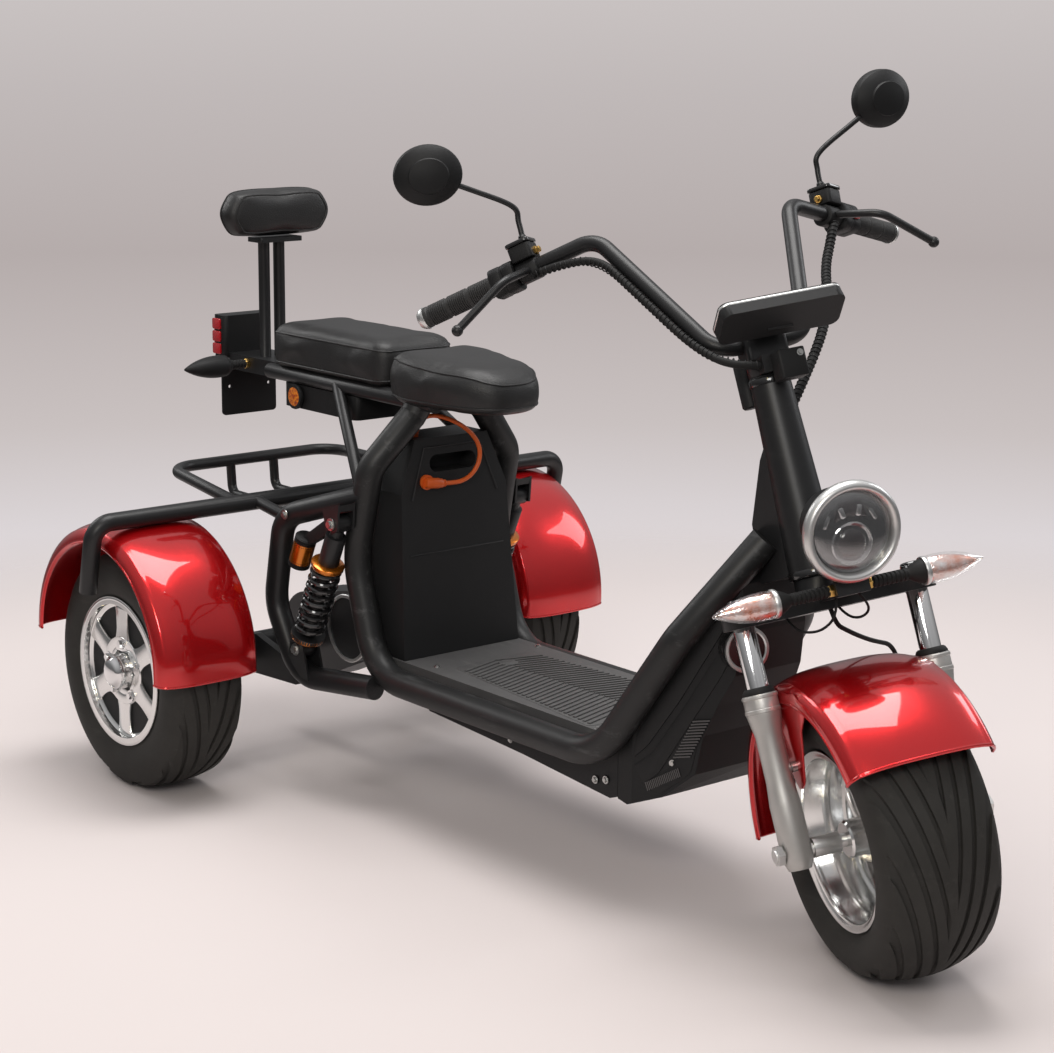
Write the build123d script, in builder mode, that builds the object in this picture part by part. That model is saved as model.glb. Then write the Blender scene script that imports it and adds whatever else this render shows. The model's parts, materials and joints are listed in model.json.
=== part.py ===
"""Three-wheel electric scooter, millimetres, built piece by piece.

Vehicle frame: +X forward, +Y left, +Z up, zero under the middle of the rear axle, which lies at axle_datum.
Fork frame: zero at the front axle's middle, +Z along the steering axis, +Y left, wheel straight ahead.
Every piece is moved once at the end, into a frame centred under the whole scooter, with its zero on the floor.
"""
from build123d import *
import os
from math import asin, cos, radians, sin, tan

# Wheels
wheelbase = 1426.0
tyre_radius = 217.0
axle_datum = 217.0
sidewall_height = 81.0
bead_height = 8.0
rim_lip = 4.0
rim_wall = 5.0
front_tyre_width = 186.0
front_rim_width = 158.0
rear_tyre_width = 146.0
rear_rim_width = 138.0
front_crown_radius = 170.0
rear_crown_radius = 260.0
rear_wheel_offset = 393.0
axle_diameter = 20.0

# Steering
rake = 21.4
fork_offset = 22.0
steer_rest = -23.0
leg_clearance = 26.0
stanchion_diameter = 33.0
leg_diameter = 46.0
collar_height = 233.0
yoke_low = 331.0
yoke_thickness = 34.0
neck_low = 383.0
neck_drop = 50.0
neck_low_radius = 40.0
neck_high_radius = 30.0
steerer_diameter = 33.0

# Frame tubes
rail_spacing = 312.0
rail_diameter = 48.0
rail_height = 240.0
loop_spacing = 396.0
loop_diameter = 42.0
seat_rail_spacing = 140.0
seat_rail_diameter = 28.0
strut_diameter = 22.0
hoop_diameter = 32.0
rack_diameter = 22.0

# Handlebar
bar_diameter = 25.0
grip_diameter = 34.0
grip_length = 125.0
clamp_height = 740.0

# Floor and seats
floor_top = 270.0
floor_thickness = 20.0
seat_base = 732.0
pillion_thickness = 80.0
saddle_thickness = 54.0

# Fenders
fender_wall = 3.0
rear_fender_gap = 18.0
rear_fender_centre = 257.0
rear_fender_width = 204.0
rear_fender_offset = 404.0
front_fender_gap = 37.0
front_fender_back = 12.0
front_fender_width = 226.0

# Fits
running_gap = 0.3
joint_gap = 0.3
press_gap = 0.1

lean = asin(sin(radians(rake)) * sin(radians(abs(steer_rest))))
sink = fork_offset * (1 - cos(radians(steer_rest))) * sin(radians(rake))
chassis_rise = tyre_radius - axle_datum
front_axle_height = front_crown_radius + (tyre_radius - front_crown_radius) * cos(lean) + sink - chassis_rise
rear_axle_height = axle_datum
rear_fender_radius = tyre_radius + rear_fender_gap
front_fender_radius = tyre_radius + front_fender_gap
rim_lip_radius = tyre_radius - sidewall_height
bead_radius = rim_lip_radius - bead_height
half_legs = front_fender_width / 2 + leg_clearance
neck_high = clamp_height - neck_drop
half_rails = rail_spacing / 2

ahead = (cos(radians(rake)), 0, sin(radians(rake)))
upward = (-sin(radians(rake)), 0, cos(radians(rake)))
fork_plane = Plane(origin=(wheelbase, 0, front_axle_height), x_dir=ahead, z_dir=upward)
steered = Location((0, 0, 0), (0, 0, steer_rest))
turned = Location((-fork_offset, 0, 0)) * steered * Location((fork_offset, 0, 0))
straight_place = fork_plane.location
steered_place = fork_plane.location * turned

sides = ((-1, "right"), (1, "left"))
chassis = {}
steering = {}
front_wheel = {}
rear_wheels = {}


def bent_tube(points, bends, diameter):
    """A round tube along straight runs joined by tangent arcs."""
    with BuildPart() as tube:
        with BuildLine() as route:
            if bends:
                FilletPolyline(*points, radius=bends)
            else:
                Line(*points)
        with BuildSketch(Plane(route.line @ 0, z_dir=route.line % 0)):
            Circle(diameter / 2)
        sweep()
    return tube.part


def sided(points, side):
    """The points of one side, from the points of the left side."""
    return [(x, side * y, z) for x, y, z in points]


def crosswise(x, y, z, side=1):
    """The plane square to the axles, facing outward on one side."""
    return Plane((x, y, z), x_dir=(1, 0, 0), z_dir=(0, side, 0))


def lengthwise(centre, start=0.0):
    """The half plane through a crosswise axis: local x runs left, local y runs outward at the start angle."""
    outward = Vector(cos(radians(start)), 0, sin(radians(start)))
    return Plane(origin=centre, x_dir=(0, 1, 0), z_dir=Vector(0, 1, 0).cross(outward))


# Wheels: smooth tyres and dished rims, each turned about its own axle
def tyre(centre, width, rim_width, crown):
    half = width / 2
    bead = rim_width / 2 - rim_lip - joint_gap
    shoulder = half - 14
    shoulder_radius = tyre_radius - crown + (crown ** 2 - shoulder ** 2) ** 0.5
    foot_radius = rim_lip_radius + 1
    belly_radius = (foot_radius + shoulder_radius) / 2
    with BuildPart() as ring:
        with BuildSketch(lengthwise(centre)):
            with BuildLine():
                Polyline((-bead, foot_radius), (-bead, bead_radius), (bead, bead_radius), (bead, foot_radius))
                ThreePointArc((bead, foot_radius), (half, belly_radius), (shoulder, shoulder_radius))
                ThreePointArc((shoulder, shoulder_radius), (0, tyre_radius), (-shoulder, shoulder_radius))
                ThreePointArc((-shoulder, shoulder_radius), (-half, belly_radius), (-bead, foot_radius))
            make_face()
        revolve(axis=Axis(centre, (0, 1, 0)))
    return ring.part


def rim_barrel(centre, width):
    """The outline of the barrel with its two lips, which the tyre's beads sit between."""
    half = width / 2
    inside = half - rim_lip
    seat = bead_radius - joint_gap
    with BuildSketch(lengthwise(centre)) as section:
        with BuildLine():
            Polyline((-half, rim_lip_radius), (-inside, rim_lip_radius), (-inside, seat), (inside, seat),
                     (inside, rim_lip_radius), (half, rim_lip_radius), (half, seat - rim_wall),
                     (-half, seat - rim_wall), close=True)
        make_face()
    return section.sketch


hub_radius = 42.0
hub_bore = axle_diameter / 2 + running_gap
window_count = 8
window_circle = 0.6875 * bead_radius
spoke_half = 9.0
front_hub_half = 62.0
front_centre = (0, 0, 0)
front_wheel["front_tyre"] = tyre(front_centre, front_tyre_width, front_rim_width, front_crown_radius)

with BuildPart() as front_rim:
    add(rim_barrel(front_centre, front_rim_width))
    revolve(axis=Axis.Y)
    with BuildSketch(Plane.XZ):
        Circle(bead_radius - 4)
        with PolarLocations(window_circle, window_count):
            SlotCenterToCenter(0.19 * bead_radius, 0.33 * bead_radius, mode=Mode.SUBTRACT)
    extrude(amount=spoke_half, both=True)
    with BuildSketch(Plane.XZ):
        Circle(hub_radius)
    extrude(amount=front_hub_half, both=True)
    with BuildSketch(Plane.XZ):
        Circle(hub_bore)
    extrude(amount=front_hub_half + 1, both=True, mode=Mode.SUBTRACT)
front_wheel["front_rim"] = front_rim.part

disc_radius = 0.7 * bead_radius
disc_thickness = 4.0
disc_seat = front_hub_half + joint_gap
with BuildPart() as front_disc:
    with BuildSketch(crosswise(0, disc_seat, 0)):
        Circle(disc_radius)
        Circle(hub_bore + 4, mode=Mode.SUBTRACT)
        with PolarLocations(0.8 * disc_radius, 18):
            Circle(4.5, mode=Mode.SUBTRACT)
    extrude(amount=disc_thickness)
front_wheel["front_brake_disc"] = front_disc.part

rear_dish = 18.0
rear_hub_depth = 60.0
face_depth = 10.0
for side, name in sides:
    centre = (0, side * rear_wheel_offset, rear_axle_height)
    dish_y = side * (rear_wheel_offset + rear_rim_width / 2 - rear_dish)
    face = crosswise(0, dish_y, rear_axle_height, side)
    with BuildPart() as rear_rim:
        add(rim_barrel(centre, rear_rim_width))
        revolve(axis=Axis(centre, (0, 1, 0)))
        with BuildSketch(face):
            Circle(bead_radius - 4)
            with PolarLocations(window_circle + 4, window_count):
                SlotCenterToCenter(0.2 * bead_radius, 0.28 * bead_radius, rotation=90, mode=Mode.SUBTRACT)
        extrude(amount=-face_depth)
        with BuildSketch(face):
            Circle(34)
        extrude(amount=26, taper=8)
        with BuildSketch(face):
            Circle(hub_radius)
        extrude(amount=-rear_hub_depth)
        with BuildSketch(face.offset(-rear_hub_depth - 1)):
            Circle(hub_bore)
        extrude(amount=rear_hub_depth - 12, mode=Mode.SUBTRACT)
    rear_wheels[name] = {
        f"rear_tyre_{name}": tyre(centre, rear_tyre_width, rear_rim_width, rear_crown_radius),
        f"rear_rim_{name}": rear_rim.part,
    }

# Neck: a tapered head tube with its gusset, on the straight fork's axis
steering_axis = Axis((-fork_offset, 0, 0), (0, 0, 1))
with BuildPart() as neck:
    with BuildSketch(Plane.XZ):
        with BuildLine():
            Polyline((-fork_offset, neck_low), (-fork_offset + neck_low_radius, neck_low),
                     (-fork_offset + neck_high_radius, neck_high), (-fork_offset, neck_high), close=True)
        make_face()
    revolve(axis=steering_axis)
    with BuildSketch(Plane.XZ):
        with BuildLine():
            Polyline((-fork_offset, neck_low + 8), (-fork_offset, neck_high - 86), (-fork_offset - 30, neck_high - 120),
                     (-fork_offset - 78, neck_low + 99), (-fork_offset - 88, neck_low + 8), close=True)
        make_face()
    extrude(amount=30, both=True)
    with BuildSketch(Plane.XY.offset(neck_low - 1)):
        with Locations((-fork_offset, 0)):
            Circle(steerer_diameter / 2 + running_gap)
    extrude(amount=neck_high - neck_low + 2, mode=Mode.SUBTRACT)
chassis["neck"] = neck.part.moved(straight_place)

# Side rails: one long bent tube on each side, from the neck along the floor and up under the saddle
neck_foot = (straight_place * Location((-fork_offset, 0, neck_low))).position
rail_points = [(neck_foot.X - 74, 34, neck_foot.Z + 47), (neck_foot.X - 158, 130, neck_foot.Z - 110),
               (962, half_rails, rail_height), (372, half_rails, rail_height),
               (310, half_rails, 440), (350, half_rails - 4, 606), (374, 76, 696)]
rail_bends = [60, 120, 100, 170, 55]
for side, name in sides:
    with BuildPart() as rail:
        add(bent_tube(sided(rail_points, side), rail_bends, rail_diameter))
        add(chassis["neck"], mode=Mode.SUBTRACT)
    chassis[f"frame_rail_{name}"] = rail.part
rails = [chassis[f"frame_rail_{name}"] for side, name in sides]

# Rear loops: D-shaped tubes outside the rails, with tabs for the shocks and the axle
loop_y = loop_spacing / 2
loop_points = [(341, half_rails, 556), (150, loop_y, 494), (118, loop_y, 330), (195, loop_y, 207),
               (397, half_rails + 22, 226)]
loop_bends = [60, 80, 75]
shock_top = Vector(322, 0, 510)
shock_foot = Vector(208, 0, 262)
shock_bolt = 10.0
eye_half = 14.0
tab_thickness = 4.0
axle_tube = 52.0
tab_outlines = (
    ((296, 532), (344, 548), (340, 500), (306, 496)),
    ((178, 215), (246, 212), (228, 274), (190, 274)),
)
hanger_outline = [(x, rear_axle_height + rise)
                  for x, rise in ((-36, 29), (-36, -27), (0, -37), (190, -27), (190, 9), (60, 41))]
for side, name in sides:
    with BuildPart() as loop:
        add(bent_tube(sided(loop_points, side), loop_bends, loop_diameter))
        with BuildSketch(Plane.XZ.offset(-side * loop_y)):
            Polygon(*hanger_outline, align=None)
            with Locations((0, rear_axle_height)):
                Circle(axle_tube / 2 + joint_gap, mode=Mode.SUBTRACT)
        extrude(amount=7, both=True)
        for spot in (shock_top, shock_foot):
            with BuildSketch(Plane.XZ.offset(-side * loop_y)):
                with Locations((spot.X, spot.Z)):
                    Circle(24)
            extrude(amount=eye_half + joint_gap, both=True, mode=Mode.SUBTRACT)
        for outline in tab_outlines:
            for across in (-1, 1):
                apart = eye_half + joint_gap + tab_thickness / 2
                with BuildSketch(Plane.XZ.offset(-side * loop_y - across * apart)):
                    Polygon(*outline, align=None)
                extrude(amount=tab_thickness / 2, both=True)
        with BuildSketch(Plane.XZ.offset(-side * loop_y)):
            Polygon((298, 532), (344, 546), (342, 534), (300, 528), align=None)
        extrude(amount=eye_half + joint_gap + tab_thickness, both=True)
        for solid in rails:
            add(solid, mode=Mode.SUBTRACT)
    chassis[f"rear_loop_{name}"] = loop.part
loops = [chassis[f"rear_loop_{name}"] for side, name in sides]

# Rear axle: housing tube, differential case and the drive motor ahead of it
hub_face = rear_wheel_offset + rear_rim_width / 2 - rear_dish - rear_hub_depth
motor_x = 231.0
motor_z = 290.0
motor_radius = 62.0
motor_half = 118.0
case_radius = 84.0
case_half = 46.0
with BuildPart() as rear_axle:
    with BuildSketch(Plane.XZ):
        with Locations((0, rear_axle_height)):
            Circle(axle_tube / 2)
    extrude(amount=hub_face - 2, both=True)
    with BuildSketch(Plane.XZ):
        with Locations((0, rear_axle_height)):
            Circle(axle_diameter / 2)
    extrude(amount=hub_face + 40, both=True)
    with BuildSketch(Plane.XZ) as case:
        with Locations((0, rear_axle_height)):
            Circle(case_radius)
        with Locations((motor_x, motor_z)):
            Circle(motor_radius - 4)
        make_hull()
    extrude(amount=case_half, both=True)
    with BuildSketch(Plane.XZ):
        with Locations((motor_x, motor_z)):
            Circle(motor_radius)
    extrude(amount=motor_half, both=True)
chassis["rear_axle"] = rear_axle.part

# Shocks: damper with its end eyes, coil and piggyback reservoir, between the legs of each loop
shock_line = shock_top - shock_foot
shock_length = shock_line.length
rod_radius = 12.0
head_radius = 18.5
head_start = shock_length - 92
collar_start = 26.0
collar_thickness = 8.0
coil_inner = 20.0
coil_outer = 29.0
coil_turns = 9


def shock_plane(side, along=0.0):
    """The plane across one shock, a distance up from its foot."""
    spot = shock_foot + shock_line.normalized() * along
    return Plane((spot.X, side * loop_y, spot.Z), x_dir=(0, 1, 0), z_dir=shock_line)


# Columns: start along the shock, length, radius
damper_steps = ((0, shock_length, rod_radius), (head_start, 66, head_radius),
                (collar_start, collar_thickness, coil_outer + 2))
with BuildPart() as dampers:
    for side, name in sides:
        for start, length, radius in damper_steps:
            with BuildSketch(shock_plane(side, start)):
                Circle(radius)
            extrude(amount=length)
        for spot in (shock_foot, shock_top):
            with BuildSketch(Plane.XZ.offset(-side * loop_y)):
                with Locations((spot.X, spot.Z)):
                    Circle(16)
            extrude(amount=eye_half, both=True)
chassis["shock_dampers"] = dampers.part

coil_start = collar_start + collar_thickness + joint_gap
coil_pitch = (head_start - joint_gap - coil_start) / coil_turns
with BuildPart() as springs:
    for side, name in sides:
        base = shock_plane(side, coil_start)
        steps = range(2 * coil_turns + 1)
        waves = [(coil_outer if step % 2 else coil_inner, coil_pitch * step / 2) for step in steps]
        with BuildSketch(Plane(base.origin, x_dir=(0, 1, 0), z_dir=Vector(0, 1, 0).cross(base.z_dir))):
            Polygon((rod_radius + joint_gap, 0), *waves, (rod_radius + joint_gap, coil_pitch * coil_turns), align=None)
        revolve(axis=Axis(base.origin, base.z_dir))
chassis["shock_springs"] = springs.part

reservoir_foot = Vector(194, 0, 412)
reservoir_radius = 20.0
reservoir_length = 64.0
with BuildPart() as reservoirs:
    for side, name in sides:
        tank_foot = (reservoir_foot.X, side * loop_y, reservoir_foot.Z)
        with BuildSketch(Plane(tank_foot, x_dir=(0, 1, 0), z_dir=shock_line)):
            Circle(reservoir_radius)
        extrude(amount=reservoir_length)
        with BuildSketch(Plane.XZ.offset(-side * loop_y)):
            Polygon((reservoir_foot.X + 12, reservoir_foot.Z + 28), (reservoir_foot.X + 22, reservoir_foot.Z + 50),
                    (shock_top.X - 26, shock_top.Z - 30), (shock_top.X - 32, shock_top.Z - 66), align=None)
        extrude(amount=10, both=True)
    add(chassis["shock_dampers"], mode=Mode.SUBTRACT)
chassis["shock_reservoirs"] = reservoirs.part

# Rear fenders: half rings with turned-down edges over each rear wheel
fender_crown = 10.0
rear_skirt = 26.0
front_skirt = 40.0


def fender_section(plane, width, radius, skirt):
    """A crowned strip with turned-down edges, drawn across the wheel."""
    half = width / 2
    inner = half - fender_wall
    edge = radius - fender_crown
    with BuildSketch(plane) as section:
        with BuildLine():
            Line((-half, radius - skirt), (-half, edge))
            ThreePointArc((-half, edge), (0, radius), (half, edge))
            Polyline((half, edge), (half, radius - skirt), (inner, radius - skirt), (inner, edge - fender_wall))
            ThreePointArc((inner, edge - fender_wall), (0, radius - fender_wall), (-inner, edge - fender_wall))
            Polyline((-inner, edge - fender_wall), (-inner, radius - skirt), (-half, radius - skirt))
        make_face()
    return section.sketch


rear_fender_start = -4.0
rear_fender_arc = 182.0
for side, name in sides:
    centre = (0, side * rear_fender_offset, rear_fender_centre)
    with BuildPart() as fender:
        add(fender_section(lengthwise(centre, rear_fender_start), rear_fender_width, rear_fender_radius, rear_skirt))
        revolve(axis=Axis(centre, (0, -1, 0)), revolution_arc=rear_fender_arc)
    chassis[f"rear_fender_{name}"] = fender.part

# Rear hoop: the bar across both fenders, its ends bent down outside them, stayed to the loops
hoop_x = 48.0
hoop_rise = ((rear_fender_radius + hoop_diameter / 2 + joint_gap) ** 2 - hoop_x ** 2) ** 0.5
hoop_z = rear_fender_centre + hoop_rise
hoop_clearance = 6.0
hoop_end = rear_fender_offset + rear_fender_width / 2 + hoop_diameter / 2 + hoop_clearance
hoop_points = [(hoop_x - 28, hoop_end, hoop_z - 126), (hoop_x, hoop_end, hoop_z)]
with BuildPart() as hoop:
    add(bent_tube(hoop_points + sided(hoop_points[::-1], -1), [34, 34], hoop_diameter))
    for side, name in sides:
        add(bent_tube(sided([(hoop_x, loop_y - 8, hoop_z), (150, loop_y, 494)], side), [], rack_diameter))
    for solid in loops:
        add(solid, mode=Mode.SUBTRACT)
chassis["rear_hoop"] = hoop.part

# Luggage rack: a loop behind the hoop with two rails hung under it
rack_x = -258.0
rack_z = 517.0
rack_half = 188.0
rack_mouth = 230.0
rack_rail_half = 50.0
rack_rail_z = 452.0
rack_loop = [(hoop_x, rack_mouth, hoop_z), (rack_x, rack_half, rack_z)]
rack_rail = [(rack_x, rack_rail_half, rack_z), (rack_x + 6, rack_rail_half, rack_rail_z),
             (hoop_x - 26, rack_rail_half, rack_rail_z), (hoop_x, rack_rail_half, hoop_z)]
with BuildPart() as rack:
    add(bent_tube(rack_loop + sided(rack_loop[::-1], -1), [60, 60], rack_diameter))
    for side, name in sides:
        add(bent_tube(sided(rack_rail, side), [20, 20], rack_diameter - 4))
    add(chassis["rear_hoop"], mode=Mode.SUBTRACT)
chassis["rear_rack"] = rack.part

# Floor: the mat plate between the rails and the closed box under it
floor_half = half_rails - rail_diameter / 2 - 1
floor_rear = 302.0
floor_front = 977.0
floor_low = floor_top - floor_thickness
with BuildPart() as footboard:
    with BuildSketch(Plane.XY.offset(floor_low)):
        with Locations(((floor_rear + floor_front) / 2, 0)):
            RectangleRounded(floor_front - floor_rear, 2 * floor_half, 12)
    extrude(amount=floor_thickness)
    for solid in rails:
        add(solid, mode=Mode.SUBTRACT)
chassis["footboard"] = footboard.part

with BuildPart() as belly:
    with BuildSketch(Plane.XZ):
        Polygon((470, floor_low - joint_gap), (470, 214), (488, 197), (742, 183), (958, 165), (floor_front, 172),
                (floor_front, floor_low - joint_gap), align=None)
    extrude(amount=floor_half - 2, both=True)
chassis["belly_box"] = belly.part

# Leg shield: a closed housing between the rails up to the neck, narrowing to its nose
shield_rear = floor_front + 1
shield_half = floor_half - 2
nose_half = 56.0
with BuildPart() as shield:
    with BuildSketch(Plane.XZ):
        Polygon((shield_rear, 262), (shield_rear, 170), (1000, 166), (1060, 190), (1112, 236), (1124, 300), (1146, 352),
                (neck_foot.X - 94, neck_foot.Z - 163), (neck_foot.X - 84, neck_foot.Z - 95),
                (neck_foot.X - 86, neck_foot.Z - 20), (neck_foot.X - 106, neck_foot.Z + 15), (1070, 400), align=None)
    extrude(amount=shield_half, both=True)
    for side, name in sides:
        with BuildSketch(Plane.XY.offset(150)):
            Polygon((1010, side * shield_half), (1210, side * nose_half), (1210, side * 200), (1010, side * 200),
                    align=None)
        extrude(amount=460, mode=Mode.SUBTRACT)
    for solid in rails + [chassis["neck"]]:
        add(solid, mode=Mode.SUBTRACT)
chassis["leg_shield"] = shield.part

with BuildPart() as horn:
    with BuildSketch(Plane((1166, -58, 446), x_dir=(0, 1, 0), z_dir=(0.9, -0.35, 0.1))):
        Circle(34)
    extrude(amount=30)
    add(chassis["leg_shield"], mode=Mode.SUBTRACT)
    add(chassis["frame_rail_right"], mode=Mode.SUBTRACT)
chassis["horn"] = horn.part

# Battery: a case on the floor with slanted shoulders and a grip recess, its plug and its charging lead
battery_rear = 300.0
# Columns: height, front, half width
battery_levels = ((floor_top + joint_gap, 416, 128), (560, 392, 116), (652, 382, 80))
battery_top = battery_levels[-1][0]
with BuildPart() as battery:
    for height, front, half in battery_levels:
        with BuildSketch(Plane.XY.offset(height)):
            with Locations(((battery_rear + front) / 2, 0)):
                Rectangle(front - battery_rear, 2 * half)
    loft(ruled=True)
    with BuildSketch(Plane.YZ.offset(480)):
        with Locations((0, 607)):
            SlotCenterToCenter(72, 30)
    extrude(amount=-132, mode=Mode.SUBTRACT)
chassis["battery"] = battery.part

lead_diameter = 8.0
lead_points = [(402, -36, 574), (405, -6, 571), (408, 22, 579), (410, 41, 602), (410, 43, 631), (406, 27, 657),
               (401, 2, 676), (392, -25, 689), (378, -46, 692), (362, -56, 680), (354, -59, 660)]


def easy_bends(points):
    """The largest arc that each corner's two runs allow."""
    spots = [Vector(*point) for point in points]
    runs = [after - before for before, after in zip(spots, spots[1:])]
    corners = [(min(one.length, two.length), one.get_angle(two)) for one, two in zip(runs, runs[1:])]
    return [0.45 * shorter / tan(radians(angle / 2)) for shorter, angle in corners]


lead_bends = easy_bends(lead_points)
chassis["battery_lead"] = bent_tube(lead_points, lead_bends, lead_diameter)

lead_start = Vector(*lead_points[0])
lead_out = (Vector(*lead_points[1]) - lead_start).normalized()
lead_end = Vector(*lead_points[-1])
lead_in = (lead_end - Vector(*lead_points[-2])).normalized()
with BuildPart() as plug:
    with BuildSketch(Plane(lead_start, x_dir=(0, 0, 1), z_dir=lead_out)):
        Circle(8)
    extrude(amount=-34)
    with BuildSketch(Plane(lead_end, x_dir=(0, 1, 0), z_dir=lead_in)):
        Circle(8)
    extrude(amount=20)
    with BuildSketch(Plane.YZ.offset(396)):
        with Locations((-62, 577)):
            Circle(13)
    extrude(amount=-20)
    add(chassis["battery"], mode=Mode.SUBTRACT)
chassis["battery_plug"] = plug.part

# Seat frame: rails under the seats, struts to the side rails and cross tubes
seat_rail_y = seat_rail_spacing / 2
seat_rail_z = seat_base - joint_gap - seat_rail_diameter / 2
seat_rail_rear = -82.0
strut_points = [(143, seat_rail_y + 4, seat_rail_z), (328, half_rails, 564)]
with BuildPart() as seat_frame:
    for side, name in sides:
        add(bent_tube(sided([(seat_rail_rear, seat_rail_y, seat_rail_z), (430, seat_rail_y, seat_rail_z)], side), [],
                      seat_rail_diameter))
        add(bent_tube(sided(strut_points, side), [], strut_diameter))
    for cross in (seat_rail_rear + 16, 280):
        add(bent_tube([(cross, -seat_rail_y, seat_rail_z), (cross, seat_rail_y, seat_rail_z)], [], strut_diameter))
    for solid in rails + loops:
        add(solid, mode=Mode.SUBTRACT)
chassis["seat_frame"] = seat_frame.part

box_low = 660.0
box_half = 76.0
box_top = seat_rail_z - seat_rail_diameter / 2 - joint_gap
with BuildPart() as seat_box:
    with BuildSketch(Plane.XY.offset(box_low)):
        with Locations((86, 0)):
            RectangleRounded(232, 2 * box_half, 14)
    extrude(amount=box_top - box_low)
    add(chassis["seat_frame"], mode=Mode.SUBTRACT)
chassis["seat_box"] = seat_box.part

with BuildPart() as reflectors:
    for side, name in sides:
        with BuildSketch(crosswise(18, side * (box_half + joint_gap), (box_low + box_top) / 2, side)):
            Circle(22)
        extrude(amount=9)
chassis["side_reflectors"] = reflectors.part

# Seats: plain closed cushions on their bases
seat_split = 300.0
pillion_rear = -60.0
saddle_rear = seat_split + joint_gap
saddle_front = 576.0
pillion_width = 180.0
with BuildPart() as driver_seat:
    with BuildSketch(Plane.XY.offset(seat_base)):
        Polygon((saddle_rear, -84), (saddle_rear + 60, -106), (saddle_rear + 190, -106), (saddle_front, -52),
                (saddle_front, 52), (saddle_rear + 190, 106), (saddle_rear + 60, 106), (saddle_rear, 84), align=None)
        fillet(vertices(), radius=20)
    extrude(amount=saddle_thickness)
chassis["driver_seat"] = driver_seat.part

with BuildPart() as pillion_seat:
    with BuildSketch(Plane.XY.offset(seat_base)):
        with Locations(((pillion_rear + seat_split) / 2, 0)):
            RectangleRounded(seat_split - pillion_rear, pillion_width, 28)
    extrude(amount=pillion_thickness)
chassis["pillion_seat"] = pillion_seat.part

# Tail: bracket behind the seat, backrest posts, pad, lamps and plate holder
post_x = -178.0
post_half = 17.0
post_diameter = 22.0
tail_end = -262.0
tail_low = 698.0
tail_high = 728.0
tail_half = 46.0
pad_high = 1050.0
pad_height = 92.0
pad_half = 122.0
pad_rear = -195.0
pad_thickness = 60.0
pad_low = pad_high - pad_height
post_top = pad_low - 8
with BuildPart() as tail:
    with BuildSketch(Plane.XY.offset(tail_low)):
        with Locations(((tail_end + seat_rail_rear + 20) / 2, 0)):
            Rectangle(seat_rail_rear + 20 - tail_end, 2 * tail_half)
    extrude(amount=tail_high - tail_low)
    for side, name in sides:
        with BuildSketch(Plane.XY.offset(tail_low + 4)):
            with Locations((post_x, side * post_half)):
                Circle(post_diameter / 2)
        extrude(amount=post_top - tail_low)
    with BuildSketch(Plane.XY.offset(post_top - 1)):
        with Locations((pad_rear + pad_thickness / 2, 0)):
            RectangleRounded(pad_thickness - 12, 96, 6)
    extrude(amount=pad_low - joint_gap - post_top + 1)
    add(chassis["seat_frame"], mode=Mode.SUBTRACT)
chassis["tail_bracket"] = tail.part

pad_middle = (pad_low + pad_high) / 2
with BuildPart() as backrest:
    with BuildSketch(Plane.YZ.offset(pad_rear)):
        Polygon((-pad_half, pad_middle), (-pad_half + 26, pad_high), (pad_half - 26, pad_high), (pad_half, pad_middle),
                (pad_half - 26, pad_low), (-pad_half + 26, pad_low), align=None)
        fillet(vertices(), radius=18)
    extrude(amount=pad_thickness)
chassis["backrest_pad"] = backrest.part

lamp_half = 56.0
lamp_low = tail_low + 20
lamp_height = 82.0
with BuildPart() as tail_light:
    with BuildSketch(Plane.XY.offset(lamp_low)):
        with Locations((tail_end - joint_gap - 20, 0)):
            RectangleRounded(40, 2 * lamp_half, 10)
    extrude(amount=lamp_height)
chassis["tail_light"] = tail_light.part

with BuildPart() as tail_lens:
    with BuildSketch(Plane.YZ.offset(tail_end - 2 * joint_gap - 40)):
        with Locations((0, lamp_low + lamp_height / 2)):
            RectangleRounded(2 * lamp_half - 12, lamp_height - 14, 10)
    extrude(amount=-10)
chassis["tail_lens"] = tail_lens.part

plate_hole = 6.5
plate_hole_spacing = 90.0
plate_width = 124.0
plate_low = 606.0
with BuildPart() as plate_holder:
    with BuildSketch(Plane.YZ.offset(tail_end - joint_gap)):
        with Locations((0, (plate_low + tail_low + 14) / 2)):
            RectangleRounded(plate_width, tail_low + 14 - plate_low, 8)
        with Locations((0, plate_low + 56)):
            with GridLocations(plate_hole_spacing, 0, 2, 1):
                Circle(plate_hole / 2, mode=Mode.SUBTRACT)
    extrude(amount=-4)
chassis["plate_holder"] = plate_holder.part

signal_x = -196.0
signal_z = 715.0
with BuildPart() as rear_signals:
    for side, name in sides:
        stalk = crosswise(signal_x, side * (tail_half + joint_gap), signal_z, side)
        with BuildSketch(stalk):
            Circle(9)
        extrude(amount=58)
        with BuildSketch(Plane(stalk.origin + Vector(0, side * 50, 0), x_dir=(0, side, 0), z_dir=(1, 0, 0))):
            with BuildLine():
                Polyline((92, 2), (92, 0), (0, 0), (0, 20))
                ThreePointArc((0, 20), (58, 17), (92, 2))
            make_face()
        revolve(axis=Axis(stalk.origin, (0, 1, 0)))
chassis["rear_signals"] = rear_signals.part

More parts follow.
